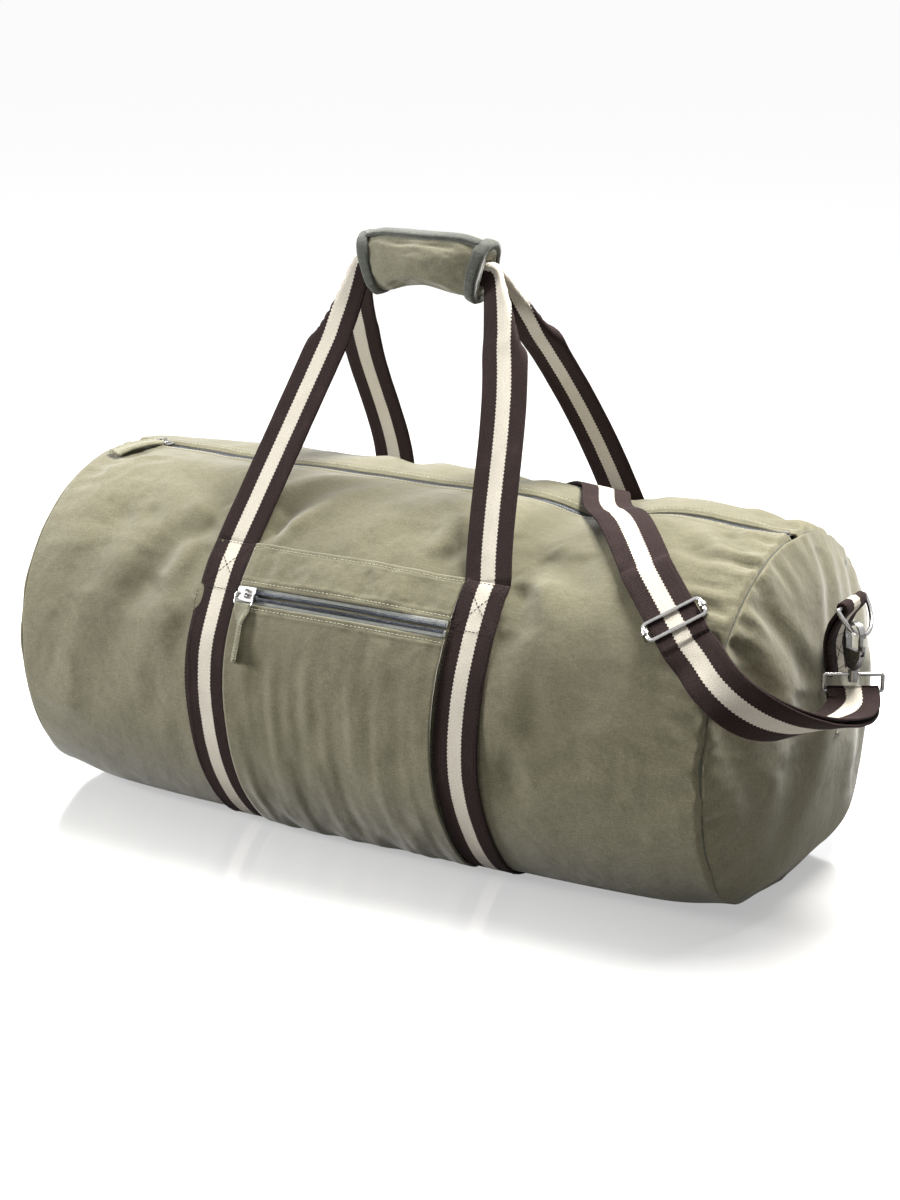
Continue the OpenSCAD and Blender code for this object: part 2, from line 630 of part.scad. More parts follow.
module clip_hook() {
    slot_low_z = gate_pivot_z - gate_eye_r - gate_cheek_gap;
    slot_in = eye_r / 2;
    color("#a7a9a6") at_clip(hook_yaw) {
        difference() {
            rotate([90, 0, 0]) translate([0, 0, -hook_t / 2]) linear_extrude(hook_t) hook_outline();
            translate([slot_in, -gate_w / 2 - gate_cheek_gap, slot_low_z])
                cube([hook_r, gate_w + 2 * gate_cheek_gap, mouth_z - slot_low_z + overrun]);
            // The eye is eased on both faces, so that the ring's wire can lie across it
            for (turn = [-90, 90])
                translate([0, 0, eye_z]) rotate([turn, 0, 0]) translate([0, 0, hook_t / 2 - eye_bevel_t])
                    cylinder(r1 = eye_r, r2 = eye_r + eye_bevel_r, h = eye_bevel_t, $fn = 48);
        }
        translate([gate_u, hook_t / 2, gate_pivot_z]) rotate([90, 0, 0])
            cylinder(d = gate_pin_d, h = hook_t, $fn = 24);
        translate([0, 0, -boss_h / 2 - seat]) cylinder(d = swivel_d, h = boss_h + 2 * neck_z / 3, $fn = 48);
        translate([0, 0, -boss_h / 2 - seat - swivel_head_h])
            cylinder(d = swivel_head_d, h = swivel_head_h, $fn = 48);
    }
}
// The sprung gate closes the hook's mouth and has a thumb stud outside
module clip_gate() {
    gate_top = mouth_top_z - seat;
    color("#9a9c99") at_clip(hook_yaw) rotate([90, 0, 0]) translate([0, 0, -gate_w / 2])
        linear_extrude(gate_w) difference() {
            union() {
                translate([gate_u, gate_pivot_z]) circle(r = gate_eye_r, $fn = 32);
                translate([gate_u - gate_w / 2, gate_pivot_z]) square([gate_w, gate_top - gate_pivot_z]);
                translate([gate_u, mouth_z + gate_cheek_gap]) square([gate_w / 2 + gate_nub_l, gate_nub_h]);
            }
            translate([gate_u, gate_pivot_z]) circle(d = gate_pin_d + 2 * swivel_gap, $fn = 32);
        }
}

// Shoulder strap
// It lies over the barrel from the pocket side at the right to the back at the left, and hangs
// in a loop to the clip at each end. Places on the barrel are shares of its half length with an
// angle from the top, from the left clip to the adjuster.
strap_leave = [0.96, 57.5];
strap_left_leave = [-0.96, -90];
strap_lie_shares = [[-0.96, -90], [-0.8, -93], [-0.6, -94], [-0.4, -90], [-0.2, -79], [0, -62],
    [0.2, -43], [0.375, -23], [0.475, -4], [0.565, 9], [0.67, 20]];
slide_middle = [0.838, 44.4];
slide_turn = 44;
strap_steps = 5;
drop_steps = 14;
still_steps = 3;
// Heights of the strap's layers over the barrel
lie_off = seat + webbing_t / 2;
end_wrap_r = (loop_wire_d + seat) / 2 + tape_t;
bar_off = seat + end_wrap_r;
pass_off = bar_off + end_wrap_r + seat + webbing_t / 2;
outer_off = lie_off + webbing_t + seat;
// Extra height of the strap where it crosses the left band and bridges the valley of the zip
bridge_h = 2.2;
bridge_angle = 20;
function lie_lift(x, a) = (webbing_t + seat) * (1 - ramp((abs(x + band_x) - webbing_w / 2) / (webbing_w / 2) - 1 / 4))
    + bridge_h * exp(-pow(a / bridge_angle, 2));
slide_half = adjuster_travel / 2 + adjuster_l / 2 + loop_wire_d;
end_loop_l = 12;
return_lead = 5;
adjuster_s = adjuster_travel / 2;
return_s = adjuster_s + end_loop_l + 2 * seat;
// Straight stretch that the adjuster slides on, along the barrel's skin
slide_x = slide_middle[0] * half_l;
slide_fall = (skin_r(slide_x - adjuster_travel / 2, slide_middle[1], false)
    - skin_r(slide_x + adjuster_travel / 2, slide_middle[1], false)) / adjuster_travel;
slide_n = unit(outward(slide_middle[1]) + [slide_fall, 0, 0]);
slide_way = [sin(slide_turn), -cos(slide_turn) * cos(slide_middle[1]),
    -cos(slide_turn) * sin(slide_middle[1])];
slide_t = unit(slide_way - (slide_way * slide_n) * slide_n);
slide_w = cross(slide_n, slide_t);
function on_slide(s, off) = on_skin(slide_x, slide_middle[1], off, false) + slide_t * s;

// Hanging part of the strap from the barrel to the lower bar of the loop
loop_bar = [hook_x, hook_y, loop_z - loop_h];
loop_side = [cos(loop_yaw), sin(loop_yaw), 0];
loop_rise_angle = 34;
loop_in = [-sin(loop_yaw) * cos(loop_rise_angle), cos(loop_yaw) * cos(loop_rise_angle), sin(loop_rise_angle)];
loop_under = cross(loop_in, loop_side);
turn_r = loop_wire_d / 2 + seat + webbing_t / 2;
wrap_steps = 6;
// Stations of a hanging curve with a straight end, and the direction out of the strap's outer
// face at each
bar_lead = 8;
function hanging(curve, lead) = concat(
    [for (i = [0:drop_steps - 1]) bezier(curve, i / (drop_steps - 1))], [curve[3] + lead * bar_lead]);
function turning(from, to) = [for (i = [0:drop_steps])
    unit(blend(from, to, min(1, i / (drop_steps - still_steps))))];
function faces(path, sides, last) = [for (i = [0:drop_steps])
    i == drop_steps ? last : unit(cross(heading(path, i), sides[i]))];
function moved(path, dirs, dists) = [for (i = [0:len(path) - 1]) path[i] + dirs[i] * dists[i]];
// Turn of the strap round a bar, from its outer to its inner side
function bar_turn(bar, under, in, from, to) = [for (i = [from:to]) let (a = 180 * i / wrap_steps)
    bar + (under * cos(a) + in * sin(a)) * turn_r];

// At the right the strap hangs double, the outer layer going round the bar
leave_lift = 0.8;
leave_at = on_skin(strap_leave[0] * half_l, strap_leave[1], (lie_off + outer_off) / 2 + leave_lift, false);
leave_side = unit(cross(outward(strap_leave[1]), slide_t));
right_base = hanging([leave_at, leave_at + slide_t * drop_reach,
    loop_bar - loop_in * (bar_lead + loop_reach), loop_bar - loop_in * bar_lead], loop_in);
right_turn = turning(leave_side, loop_side);
right_face = faces(right_base, right_turn, loop_under);
right_gaps = [for (i = [0:drop_steps]) blend((outer_off - lie_off + seat) / 2, turn_r, ramp(i / drop_steps))];
right_path = concat([on_slide(slide_half, pass_off), on_slide(return_s + return_lead, outer_off + seat)], moved(right_base, right_face, right_gaps),
    bar_turn(loop_bar, loop_under, loop_in, 1, wrap_steps - 1));
right_sides = concat([slide_w, slide_w], right_turn, [for (i = [1:wrap_steps - 1]) loop_side]);

// The left end hangs from the back of the barrel to the left clip and is sewn back on itself
left_dip = 14;
left_t = [-cos(left_dip), 0, -sin(left_dip)];
left_from = on_skin(strap_left_leave[0] * half_l, strap_left_leave[1], lie_off + leave_lift, false);
left_bar = half_turn(loop_bar);
left_in = half_turn(loop_in);
left_under = half_turn(loop_under);
left_base = hanging([left_from, left_from + left_t * drop_reach,
    left_bar - left_in * (bar_lead + loop_reach), left_bar - left_in * bar_lead], left_in);
left_turn = turning([0, 0, 1], half_turn(loop_side));
left_face = faces(left_base, left_turn, left_under);
left_gaps = [for (i = [0:drop_steps]) turn_r * ramp(i / drop_steps)];
flap_steps = 4;
flap_first = drop_steps - flap_steps;
flap_gaps = [for (i = [0:drop_steps]) left_gaps[i]
    - blend(webbing_t + 3 * seat, 2 * turn_r, max(0, i - flap_first) / flap_steps)];
left_main = moved(left_base, left_face, left_gaps);
left_flap = moved(left_base, left_face, flap_gaps);
left_path = concat([for (i = [flap_first:drop_steps]) left_flap[i]],
    flip(bar_turn(left_bar, left_under, left_in, 1, wrap_steps - 1)),
    [for (i = [drop_steps:-1:1]) left_main[i]]);
left_sides = -concat([for (i = [flap_first:drop_steps]) left_turn[i]],
    [for (i = [1:wrap_steps - 1]) half_turn(loop_side)], [for (i = [drop_steps:-1:1]) left_turn[i]]);
// Places on the barrel from the left end to the adjuster, and the directions across the strap
slide_start = on_slide(-slide_half, pass_off);
lie_marks = smooth(concat(strap_lie_shares,
    [[slide_start[0] / half_l, atan2(-slide_start[1], slide_start[2] - bag_z)]]), strap_steps);
lie_last = len(lie_marks) - 1;
over_path = [for (i = [0:lie_last])
    let (x = lie_marks[i][0] * half_l, a = lie_marks[i][1],
         rise = (pass_off - lie_off) * ramp((i - lie_last) / (2 * strap_steps) + 1))
    i == lie_last ? slide_start : on_skin(x, a, lie_off + lie_lift(x, a) + rise)];
over_sides = [for (i = [0:lie_last])
    i == lie_last ? slide_w : unit(cross(outward(lie_marks[i][1]), heading(over_path, i)))];
module shoulder_strap() {
    color("#3a2a2c")
        ribbon(concat(left_path, over_path, right_path), concat(left_sides, over_sides, right_sides),
            webbing_w, webbing_t);
}
// The strap comes back from the loop under itself, up to the adjuster
module strap_return() {
    color("#3a2a2c")
        ribbon(concat([on_slide(return_s, lie_off), on_slide(return_s + return_lead, lie_off)],
                moved(right_base, right_face, -right_gaps)),
            concat([slide_w, slide_w], right_turn), webbing_w, webbing_t);
}
// Its sewn end goes round the adjuster's bar
module at_adjuster() {
    o = on_slide(adjuster_s, 0);
    multmatrix([[slide_t[0], slide_w[0], slide_n[0], o[0]], [slide_t[1], slide_w[1], slide_n[1], o[1]],
        [slide_t[2], slide_w[2], slide_n[2], o[2]], [0, 0, 0, 1]]) children();
}
module strap_end_loop() {
    color("#3a2a2c") at_adjuster() rotate([90, 0, 0]) translate([0, 0, -webbing_w / 2])
        linear_extrude(webbing_w) difference() {
            union() {
                translate([0, seat]) square([end_loop_l, webbing_t]);
                translate([0, bar_off]) intersection() {
                    circle(r = end_wrap_r, $fn = 32);
                    translate([-loop_wire_d, -end_wrap_r]) square(2 * end_wrap_r);
                }
            }
            translate([0, bar_off]) circle(d = loop_wire_d + seat, $fn = 32);
        }
}
frame_n = pass_off + webbing_t / 2 + seat + loop_wire_d / 2;
bar_eye_d = loop_wire_d + 2 * seat + 2 * flange_t;
frame_w = webbing_w + bar_eye_d + 2 * seat;
frame_corner_r = 3;
module adjuster_frame() {
    color("#b4b6b3") at_adjuster() translate([0, 0, frame_n]) rotate([0, 0, 90])
        wire_frame(frame_w, adjuster_l - loop_wire_d, frame_corner_r, loop_wire_d);
}
// The bar runs under the strap; an eye at each end rides on the frame's short side
module adjuster_bar() {
    eye_t = loop_wire_d;
    color("#b4b6b3") at_adjuster() {
        translate([0, frame_w / 2, bar_off]) rotate([90, 0, 0])
            cylinder(d = loop_wire_d, h = frame_w, $fn = 32);
        for (side = [-1, 1]) translate([-eye_t / 2, side * frame_w / 2, 0]) difference() {
            union() {
                translate([0, -bar_eye_d / 2, bar_off - loop_wire_d / 2])
                    cube([eye_t, bar_eye_d, frame_n - bar_off + loop_wire_d / 2]);
                translate([0, 0, frame_n]) rotate([0, 90, 0]) cylinder(d = bar_eye_d, h = eye_t, $fn = 32);
            }
            translate([-overrun, 0, frame_n]) rotate([0, 90, 0])
                cylinder(d = loop_wire_d + 2 * swivel_gap, h = eye_t + 2 * overrun, $fn = 32);
        }
    }
}

body_panel();
at_end(-1) end_panel();  // end_panel_left
at_end(1) end_panel();  // end_panel_right
at_end(-1) seam_binding();  // seam_binding_left
at_end(1) seam_binding();  // seam_binding_right
main_zip_tape(-1);  // main_zip_tape_front
main_zip_tape(1);  // main_zip_tape_rear
main_zip_coil(-1);  // main_zip_coil_front
main_zip_coil(1);  // main_zip_coil_rear
main_zip_stops();
main_zip_slider();
main_zip_bail();
main_zip_puller();
pocket_sheet(pocket_top_angle, strip_low_angle, strip_turns);  // pocket_top_strip
pocket_sheet(panel_top_angle, pocket_low_angle, panel_turns);  // pocket_panel
pocket_zip_tape(1);  // pocket_zip_tape_upper
pocket_zip_tape(-1);  // pocket_zip_tape_lower
pocket_zip_coil(1);  // pocket_zip_coil_upper
pocket_zip_coil(-1);  // pocket_zip_coil_lower
pocket_zip_slider();
pocket_zip_bail();
pocket_zip_puller();
webbing_band(-1);  // webbing_band_left
webbing_band(1);  // webbing_band_right
handle(-1);  // handle_front
handle(1);  // handle_rear
grip_wrap();
grip_binding();
at_end(-1) ring_tab();  // ring_tab_left
at_end(1) ring_tab();  // ring_tab_right
at_end(-1) d_ring();  // d_ring_left
at_end(1) d_ring();  // d_ring_right
at_end(-1) clip_loop();  // clip_loop_left
at_end(1) clip_loop();  // clip_loop_right
at_end(-1) clip_hook();  // clip_hook_left
at_end(1) clip_hook();  // clip_hook_right
at_end(-1) clip_gate();  // clip_gate_left
at_end(1) clip_gate();  // clip_gate_right
shoulder_strap();
strap_return();
strap_end_loop();
adjuster_frame();
adjuster_bar();
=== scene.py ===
from math import asin, atan2, cos, degrees, hypot, pi, radians, sin

import bpy
import numpy as np
from mathutils import Matrix, Vector


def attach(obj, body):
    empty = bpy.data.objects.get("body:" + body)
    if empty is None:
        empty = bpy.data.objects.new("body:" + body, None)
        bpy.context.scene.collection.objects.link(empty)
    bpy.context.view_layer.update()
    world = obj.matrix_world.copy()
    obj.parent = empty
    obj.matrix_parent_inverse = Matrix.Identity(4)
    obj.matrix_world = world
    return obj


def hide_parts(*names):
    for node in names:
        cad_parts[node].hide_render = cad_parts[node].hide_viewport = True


# Barrel bag of canvas with striped webbing, a padded grip and a clip-on strap.
# Places are worked out in millimetres and degrees, and turned into metres when a mesh is made.
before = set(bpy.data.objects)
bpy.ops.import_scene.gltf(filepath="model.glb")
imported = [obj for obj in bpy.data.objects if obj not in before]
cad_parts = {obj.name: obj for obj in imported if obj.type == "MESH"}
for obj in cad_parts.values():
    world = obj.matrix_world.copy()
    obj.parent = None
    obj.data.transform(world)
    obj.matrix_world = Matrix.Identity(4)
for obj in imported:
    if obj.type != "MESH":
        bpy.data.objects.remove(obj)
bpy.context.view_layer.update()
scene = bpy.context.scene

# Camera
cam = bpy.data.objects.new("camera", bpy.data.cameras.new("camera"))
scene.collection.objects.link(cam)
right_v, up_v = Vector((0.85711, 0.51513, 0.0)), Vector((-0.14383, 0.23932, 0.96023))
back_v = right_v.cross(up_v)
cam.matrix_world = Matrix((
    (right_v.x, up_v.x, back_v.x, 0.87315),
    (right_v.y, up_v.y, back_v.y, -1.43768),
    (right_v.z, up_v.z, back_v.z, 0.64369),
    (0, 0, 0, 1)))
cam.data.lens = 75.463
cam.data.sensor_width = 36
cam.data.clip_end = 200
scene.camera = cam

# Sizes of the bag, in millimetres and degrees
BAG_R, HALF_L, NECK_L = 140.0, 265.0, 150.0
NECK_SHARE, CROWN_H = 0.948, 136.08
PRESS_H, FLAT_TRIM, FLAT_POWER = 108.0, 0.4, 24.0
VALLEY, DOME_POWER, END_BULGE = 12.0, 2.3, 32.0
CANVAS_T, SEAT, WEB_W, WEB_T = 2.2, 0.3, 33.0, 2.0
ZIP_H = CROWN_H * NECK_SHARE
BAG_Z = WEB_T + SEAT + PRESS_H - FLAT_TRIM
ZIP_Z = BAG_Z + ZIP_H
BAND_X, HANDLE_A = 98.0, 46.5
GAP_A = degrees(asin(5.5 / ZIP_H))
END_X = HALF_L + SEAT
TAPE_TOP = ZIP_Z - CANVAS_T - 0.9
ARC = pi / 180 * BAG_R
ZIP_SEWN = 4.6


# Plain maths on arrays
def vec(*v):
    return np.array(v, float)


def arr(v):
    return np.asarray(v, float)


def spread(*parts):
    # Arrays of one shape
    return np.broadcast_arrays(*map(arr, parts))


def joined(*parts):
    # Columns side by side, of one shape
    return np.stack(np.broadcast_arrays(*parts), -1)


def unit(v):
    v = arr(v)
    return v / np.maximum(np.linalg.norm(v, axis=-1, keepdims=True), 1e-12)


def ramp(t):
    t = np.clip(t, 0, 1)
    return t * t * (3 - 2 * t)


def bell(t):
    return np.exp(-np.square(t))


def mixed(a, b, t):
    return a * (1 - t) + b * t


LATTICE = np.random.default_rng(41).uniform(-1, 1, (64, 64))


def noise(u, v=0.0):
    # Smooth waves between -1 and 1 that repeat every 64 cells
    u, v = spread(u, v)
    i, j = np.floor(u).astype(int), np.floor(v).astype(int)
    fu, fv = ramp(u - i), ramp(v - j)
    g = lambda a, b: LATTICE[a % 64, b % 64]
    return mixed(mixed(g(i, j), g(i + 1, j), fu), mixed(g(i, j + 1), g(i + 1, j + 1), fu), fv)


def smooth(p, steps):
    # Catmull-Rom line through the rows of p
    p = arr(p)
    q = np.vstack([2 * p[0] - p[1], p, 2 * p[-1] - p[-2]])
    a, b, c, d = (q[k:len(p) - 1 + k, None] for k in range(4))
    t = (np.arange(steps) / steps)[:, None]
    line = 0.5 * (2 * b + (c - a) * t + (2 * a - 5 * b + 4 * c - d) * t * t
        + (3 * b - a - 3 * c + d) * t ** 3)
    return np.vstack([line.reshape(-1, p.shape[1]), p[-1]])


def headings(p):
    h = np.empty_like(p)
    h[1:-1] = p[2:] - p[:-2]
    h[0], h[-1] = p[1] - p[0], p[-1] - p[-2]
    return unit(h)


def lengths(p):
    return np.concatenate([[0], np.cumsum(np.linalg.norm(np.diff(p, axis=0), axis=1))])


def half_turn(p):
    return arr(p) * vec(-1, -1, 1)


# Shape of the barrel
def fold_angle(a):
    return (arr(a) + 540) % 360 - 180


def girth(x):
    q = np.maximum(0, (np.abs(x) - (HALF_L - NECK_L)) / NECK_L)
    return 1 - (1 - NECK_SHARE) * q * q


def skin_r(x, a, valley=True, off=0.0):
    x, a = spread(x, a)
    k, c, s = girth(x), np.cos(np.radians(a)), np.sin(np.radians(a))
    sag = (k * CROWN_H - ZIP_H) * bell(fold_angle(a) / VALLEY) if valley else 0
    free = k / np.sqrt(s * s / BAG_R ** 2 + c * c / CROWN_H ** 2) - sag + off
    plane = PRESS_H + off
    low = -free * c
    pressed = np.minimum(
        free * (1 + (np.maximum(low, 1e-6) / plane) ** FLAT_POWER) ** (-1 / FLAT_POWER),
        (plane - FLAT_TRIM) / np.maximum(-c, 1e-6))
    return np.where(low < plane / 2, free, pressed)


# Creases that the handles, the strap and the zip pull into the canvas: two places on the
# barrel as distance along it and angle from the top, a half width and a depth
CREASES = [
    (-122, 40, -168, 66, 11, 3.0), (-119, 48, -140, 96, 9, 2.4), (-121, 33, -172, 24, 12, 2.4),
    (-150, 60, -206, 100, 16, 2.2), (-196, 40, -236, 92, 15, 2.0), (-120, 70, -128, 118, 8, 1.8),
    (120, 44, 150, 84, 9, 2.6), (119, 36, 164, 44, 11, 2.6), (121, 58, 136, 104, 8, 1.8),
    (150, 30, 196, 74, 14, 2.2), (-79, 35, -34, 12, 10, 3.8), (78, 34, 40, 9, 11, 3.0),
    (-76, 42, -52, 28, 7, 2.4), (60, 42, 74, 22, 8, 1.6), (226, 8, 262, 30, 8, 3.0),
    (214, 20, 262, 42, 9, 2.4), (228, 34, 262, 58, 9, 2.2), (232, -14, 262, -36, 9, 2.4),
    (-232, 10, -262, 40, 10, 1.6), (-121, -42, -165, -70, 11, 2.6), (120, -44, 158, -78, 11, 2.6),
    (-78, -36, -36, -13, 11, 2.6), (78, -36, 40, -12, 11, 2.6), (20, -60, 30, -104, 14, 2.4),
    (-200, -30, -150, -84, 14, 2.0), (196, -40, 150, -92, 14, 2.0),
]


def crease(x, s, x0, s0, x1, s1, half, depth):
    dx, ds = x1 - x0, s1 - s0
    t = np.clip(((x - x0) * dx + (s - s0) * ds) / (dx * dx + ds * ds), 0, 1)
    bend = 0.10 * np.hypot(dx, ds) * np.sin(pi * t)
    d = np.hypot(x - x0 - dx * t, s - s0 - ds * t + bend)
    fade = (1 - 0.75 * t) * ramp(t / 0.12 + 0.35)
    return -1.9 * depth * fade * (bell(d / half) - 0.6 * bell((d - 1.8 * half) / half))


def puckers(s, d):
    # Gathers at a seam: s runs along it and d away from it
    wave = noise(s / 8.5 + 3.1, d / 60) + 0.6 * noise(s / 4.6 + 9.7, d / 30)
    tight = noise(s / 2.6 + 21.3, d / 14)
    return 1.9 * wave * (d / 12) * np.exp(1 - d / 12) + 0.75 * tight * (d / 4) * np.exp(1 - d / 4)


def ridged(u, v):
    return 1 - 2.2 * np.abs(noise(u, v))


def crumple(x, s, seed):
    # Short sharp wrinkles in patches
    patch = ramp(noise(x / 60 + seed, s / 55 + 3) * 1.6 + 0.35)
    warp = 9 * noise(x / 40 + 17, s / 40 + seed)
    fine = ridged((x + warp) / 26 + seed, (s + warp) / 17 + 11)
    fine = fine + 0.55 * ridged((x - warp) / 12 + 6, (s + warp) / 9 + seed)
    return 0.85 * patch * fine


def left_swell(f):
    # The filled left end stands fuller on its upper front
    return 5.5 * bell((f - 50) / 40) * (1 - bell(f / 16))


def heel(f):
    # The corner between each end and the underside is rounded off
    return 6.0 * bell((np.abs(f) - 150) / 17)


def puff(x, a):
    # How far the slack canvas stands off the plain barrel
    x, f = spread(x, fold_angle(a))
    s, d = f * ARC, HALF_L - np.abs(x)
    calm = 1 - ramp((np.abs(f) - 96) / 24)
    hold = 1 - np.exp(-np.maximum(d, 0) / 24)
    soft = 2.6 * noise(x / 74 + 5, s / 62 + 8) + 1.35 * noise(x / 33 + 1, s / 40 + 2)
    soft = soft + 0.35 * noise(x / 13 + 7, s / 24 + 4)
    soft = soft + crumple(x, s, 4.7) * (0.35 + 0.9 * bell(d / 70) + 0.45 * bell(f / 45))
    near_zip = 1 - 0.8 * bell(f / 7)
    out = soft * hold * calm * near_zip
    for x0, a0, x1, a1, half, depth in CREASES:
        out = out + crease(x, s, x0, a0 * ARC, x1, a1 * ARC, half, depth) * calm * near_zip * hold
    dip = np.where(x < 120, bell((x - 120) / 27), bell((x - 120) / 36))
    out = out - 8.0 * dip * bell(f / 58)
    out = out + 2.5 * bell((x - 190) / 34) * bell(f / 40)
    out = out * (1 - 0.95 * bell(np.hypot(x - 219, s - 106) / 46))
    out = out + left_swell(f) * bell((x + HALF_L) / 62)
    out = out - heel(f) * bell(d / 26)
    gather = (0.35 + 0.65 * (1 - ramp((np.abs(f) - 60) / 50))) * (0.4 + 0.6 * ramp((f + 30) / 60))
    side = np.where(x > 0, 1.7, 0.12)
    return out + puckers(s + np.where(x > 0, 0, 177), np.maximum(d, 0)) * calm * gather * side


def outward(a):
    a = np.radians(arr(a))
    return joined(np.zeros_like(a), -np.sin(a), np.cos(a))


def on_skin(x, a, off=0.0, valley=True, slack=True):
    x, a = spread(x, a)
    r = skin_r(x, a, valley, off) + (puff(x, a) if slack else 0)
    t = np.radians(a)
    return joined(x, -r * np.sin(t), BAG_Z + r * np.cos(t))


def dome_x(y, z):
    a = degrees(atan2(-y, z - BAG_Z))
    rho = hypot(y, z - BAG_Z) / float(skin_r(HALF_L, a, False))
    return HALF_L + END_BULGE * (1 - min(rho, 1) ** DOME_POWER)


# Mesh makers
def make(name, points, quads, cloth=None, fold=None, extra=()):
    # A mesh from points in millimetres, faces of four corners and other faces in extra
    me = bpy.data.meshes.new(name)
    me.from_pydata(arr(points).reshape(-1, 3) / 1000, [], quads.tolist() + list(extra))
    me.polygons.foreach_set("use_smooth", np.ones(len(me.polygons), bool))
    if cloth is not None:
        at = me.attributes.new("cloth", "FLOAT_VECTOR", "POINT")
        at.data.foreach_set("vector", (arr(cloth) / 1000).ravel())
    if fold is not None:
        me.attributes.new("fold", "FLOAT", "POINT").data.foreach_set("value", fold.ravel())
    me.validate()
    me.update()
    ob = bpy.data.objects.new(name, me)
    scene.collection.objects.link(ob)
    return ob


def grid_faces(n, m, closed=False, start=0, flip=False):
    i = np.arange(n - 1)[:, None] * m
    j = np.arange(m if closed else m - 1)[None, :]
    k = (j + 1) % m
    q = joined(i + j, i + k, i + m + k, i + m + j).reshape(-1, 4) + start
    return q[:, ::-1] if flip else q


def ring_faces(a, b, m, flip=False):
    # Faces between two rings of m points, which start at a and b
    j = np.arange(m)
    k = (j + 1) % m
    q = joined(a + j, a + k, b + k, b + j)
    return q[:, ::-1] if flip else q


def end_caps(n, m, start=0, step=1):
    # One face on each end of a tube of n rings
    first, last = range(start, start + m), range(start + (n - 1) * m, start + n * m)
    return [list(first)[::-step], list(last)[::step]]


def shell(name, P, thick, cloth, fold=None, flip=False):
    # A sheet with its outer face on the grid P and a real thickness behind it
    n, m = P.shape[:2]
    N = unit(np.cross(np.gradient(P, axis=0), np.gradient(P, axis=1))) * (-1 if flip else 1)
    inner = P - N * thick
    outer_f = grid_faces(n, m, flip=flip)
    inner_f = grid_faces(n, m, start=n * m, flip=not flip)
    rim = np.concatenate([np.arange(m), m * np.arange(1, n) + m - 1,
        (n - 1) * m + np.arange(m - 2, -1, -1), m * np.arange(n - 2, 0, -1)])
    nxt = np.roll(rim, -1)
    rim_f = joined(nxt, rim, rim + n * m, nxt + n * m)
    if flip:
        rim_f = rim_f[:, ::-1]
    c = arr(cloth).reshape(-1, 3)
    f = None if fold is None else np.tile(fold.ravel(), 2)
    return make(name, np.vstack([P.reshape(-1, 3), inner.reshape(-1, 3)]),
        np.vstack([outer_f, inner_f, rim_f]), np.vstack([c, c]), f)


def swept(name, path, side, up, loops, cloth):
    # Closed sections carried along a path, never below the floor: loops holds each station's
    # points as (across, up)
    n, m = loops.shape[:2]
    P = path[:, None] + side[:, None] * loops[..., :1] + up[:, None] * loops[..., 1:2]
    P[..., 2] = np.maximum(P[..., 2], 0)
    return make(name, P, grid_faces(n, m, closed=True), cloth, extra=end_caps(n, m))


# Width of the fold along a folded length, in millimetres
FOLD_SPAN = 3.7


def web_loops(n, width, thick, fold=0.0, cells=18):
    # Sections of webbing with round edges, folded lengthwise by a share from 0 to 1
    thick, fold = (np.broadcast_to(v, (n,)) for v in (thick, fold))
    share = np.linspace(-1, 1, cells)
    edge = np.radians([50, 0, -50])
    s_at = np.concatenate([share, [1, 1, 1], share[::-1], [-1, -1, -1]])
    n_at = np.concatenate([np.full(cells, 1.0), np.sin(edge), np.full(cells, -1.0), -np.sin(edge)])
    t_at = np.concatenate([np.zeros(cells), np.cos(edge), np.zeros(cells), -np.cos(edge)])
    loops = np.empty((n, len(s_at), 2))
    fine = np.linspace(-1, 1, 121)
    for i in range(n):
        half, r = width / 2 - thick[i] / 2, thick[i] / 2
        # The fold line moves in from the edge as the fold grows
        past = (fine + 1 - fold[i]) * half / FOLD_SPAN + 0.5 - (1 - fold[i]) * 0.5
        theta = pi * min(1, 2.5 * fold[i]) * (1 - ramp(past))
        tan = joined(np.cos(theta), np.sin(theta))
        mid = np.cumsum(tan * half * (fine[1] - fine[0]), axis=0)
        mid = mid - mid.mean(axis=0)
        at = lambda line: joined(*(np.interp(s_at, fine, line[:, k]) for k in (0, 1)))
        pos, tn = at(mid), at(tan)
        nm = joined(-tn[:, 1], tn[:, 0])
        loops[i] = pos + nm * (n_at * r)[:, None] + tn * (t_at * r)[:, None]
    return loops, np.broadcast_to(s_at * (width / 2), loops.shape[:2])


def webbing(name, node, path, sides, thick=WEB_T, fold=0.0, level=False, steps=3, wave=0.12,
            start=0.0, body="bag"):
    # A length of webbing along a path, with a side direction at each station
    cols = [path, np.broadcast_to(sides, path.shape)]
    cols += [np.broadcast_to(v, (len(path),))[:, None] for v in (thick, fold)]
    row = smooth(np.hstack(cols), steps)
    path, raw = row[:, :3], row[:, 3:6]
    t = headings(path)
    side = raw - np.sum(raw * t, axis=1, keepdims=True) * t
    if level:
        side[[0, -1]] = raw[[0, -1]]
    side = unit(side)
    up = unit(np.cross(t, side))
    loops, s_real = web_loops(len(path), WEB_W, row[:, 6], np.clip(row[:, 7], 0, 1))
    v = lengths(path) + start
    ripple = wave * noise(v[:, None] / 9 + 3, s_real / 6)
    ripple = ripple * ramp(v / 12)[:, None] * ramp((v[-1] - v) / 12)[:, None]
    loops = loops + joined(0.0, ripple)
    cloth = joined(s_real, v[:, None], 0.0)
    ob = put(swept(name, path, side, up, loops, cloth), WEBBING, node, body)
    return ob, float(v[-1])


def round_bar(path, radius, sides):
    path = arr(path)
    t = headings(path)
    ref = unit(np.cross(t, vec(0.31, 0.17, 0.93)))
    up = np.cross(ref, t)
    ang = np.arange(sides) * 2 * pi / sides
    loop = joined(np.cos(ang), np.sin(ang)) * radius
    P = path[:, None] + ref[:, None] * loop[:, :1] + up[:, None] * loop[:, 1:2]
    return P.reshape(-1, 3), grid_faces(len(path), sides, closed=True)


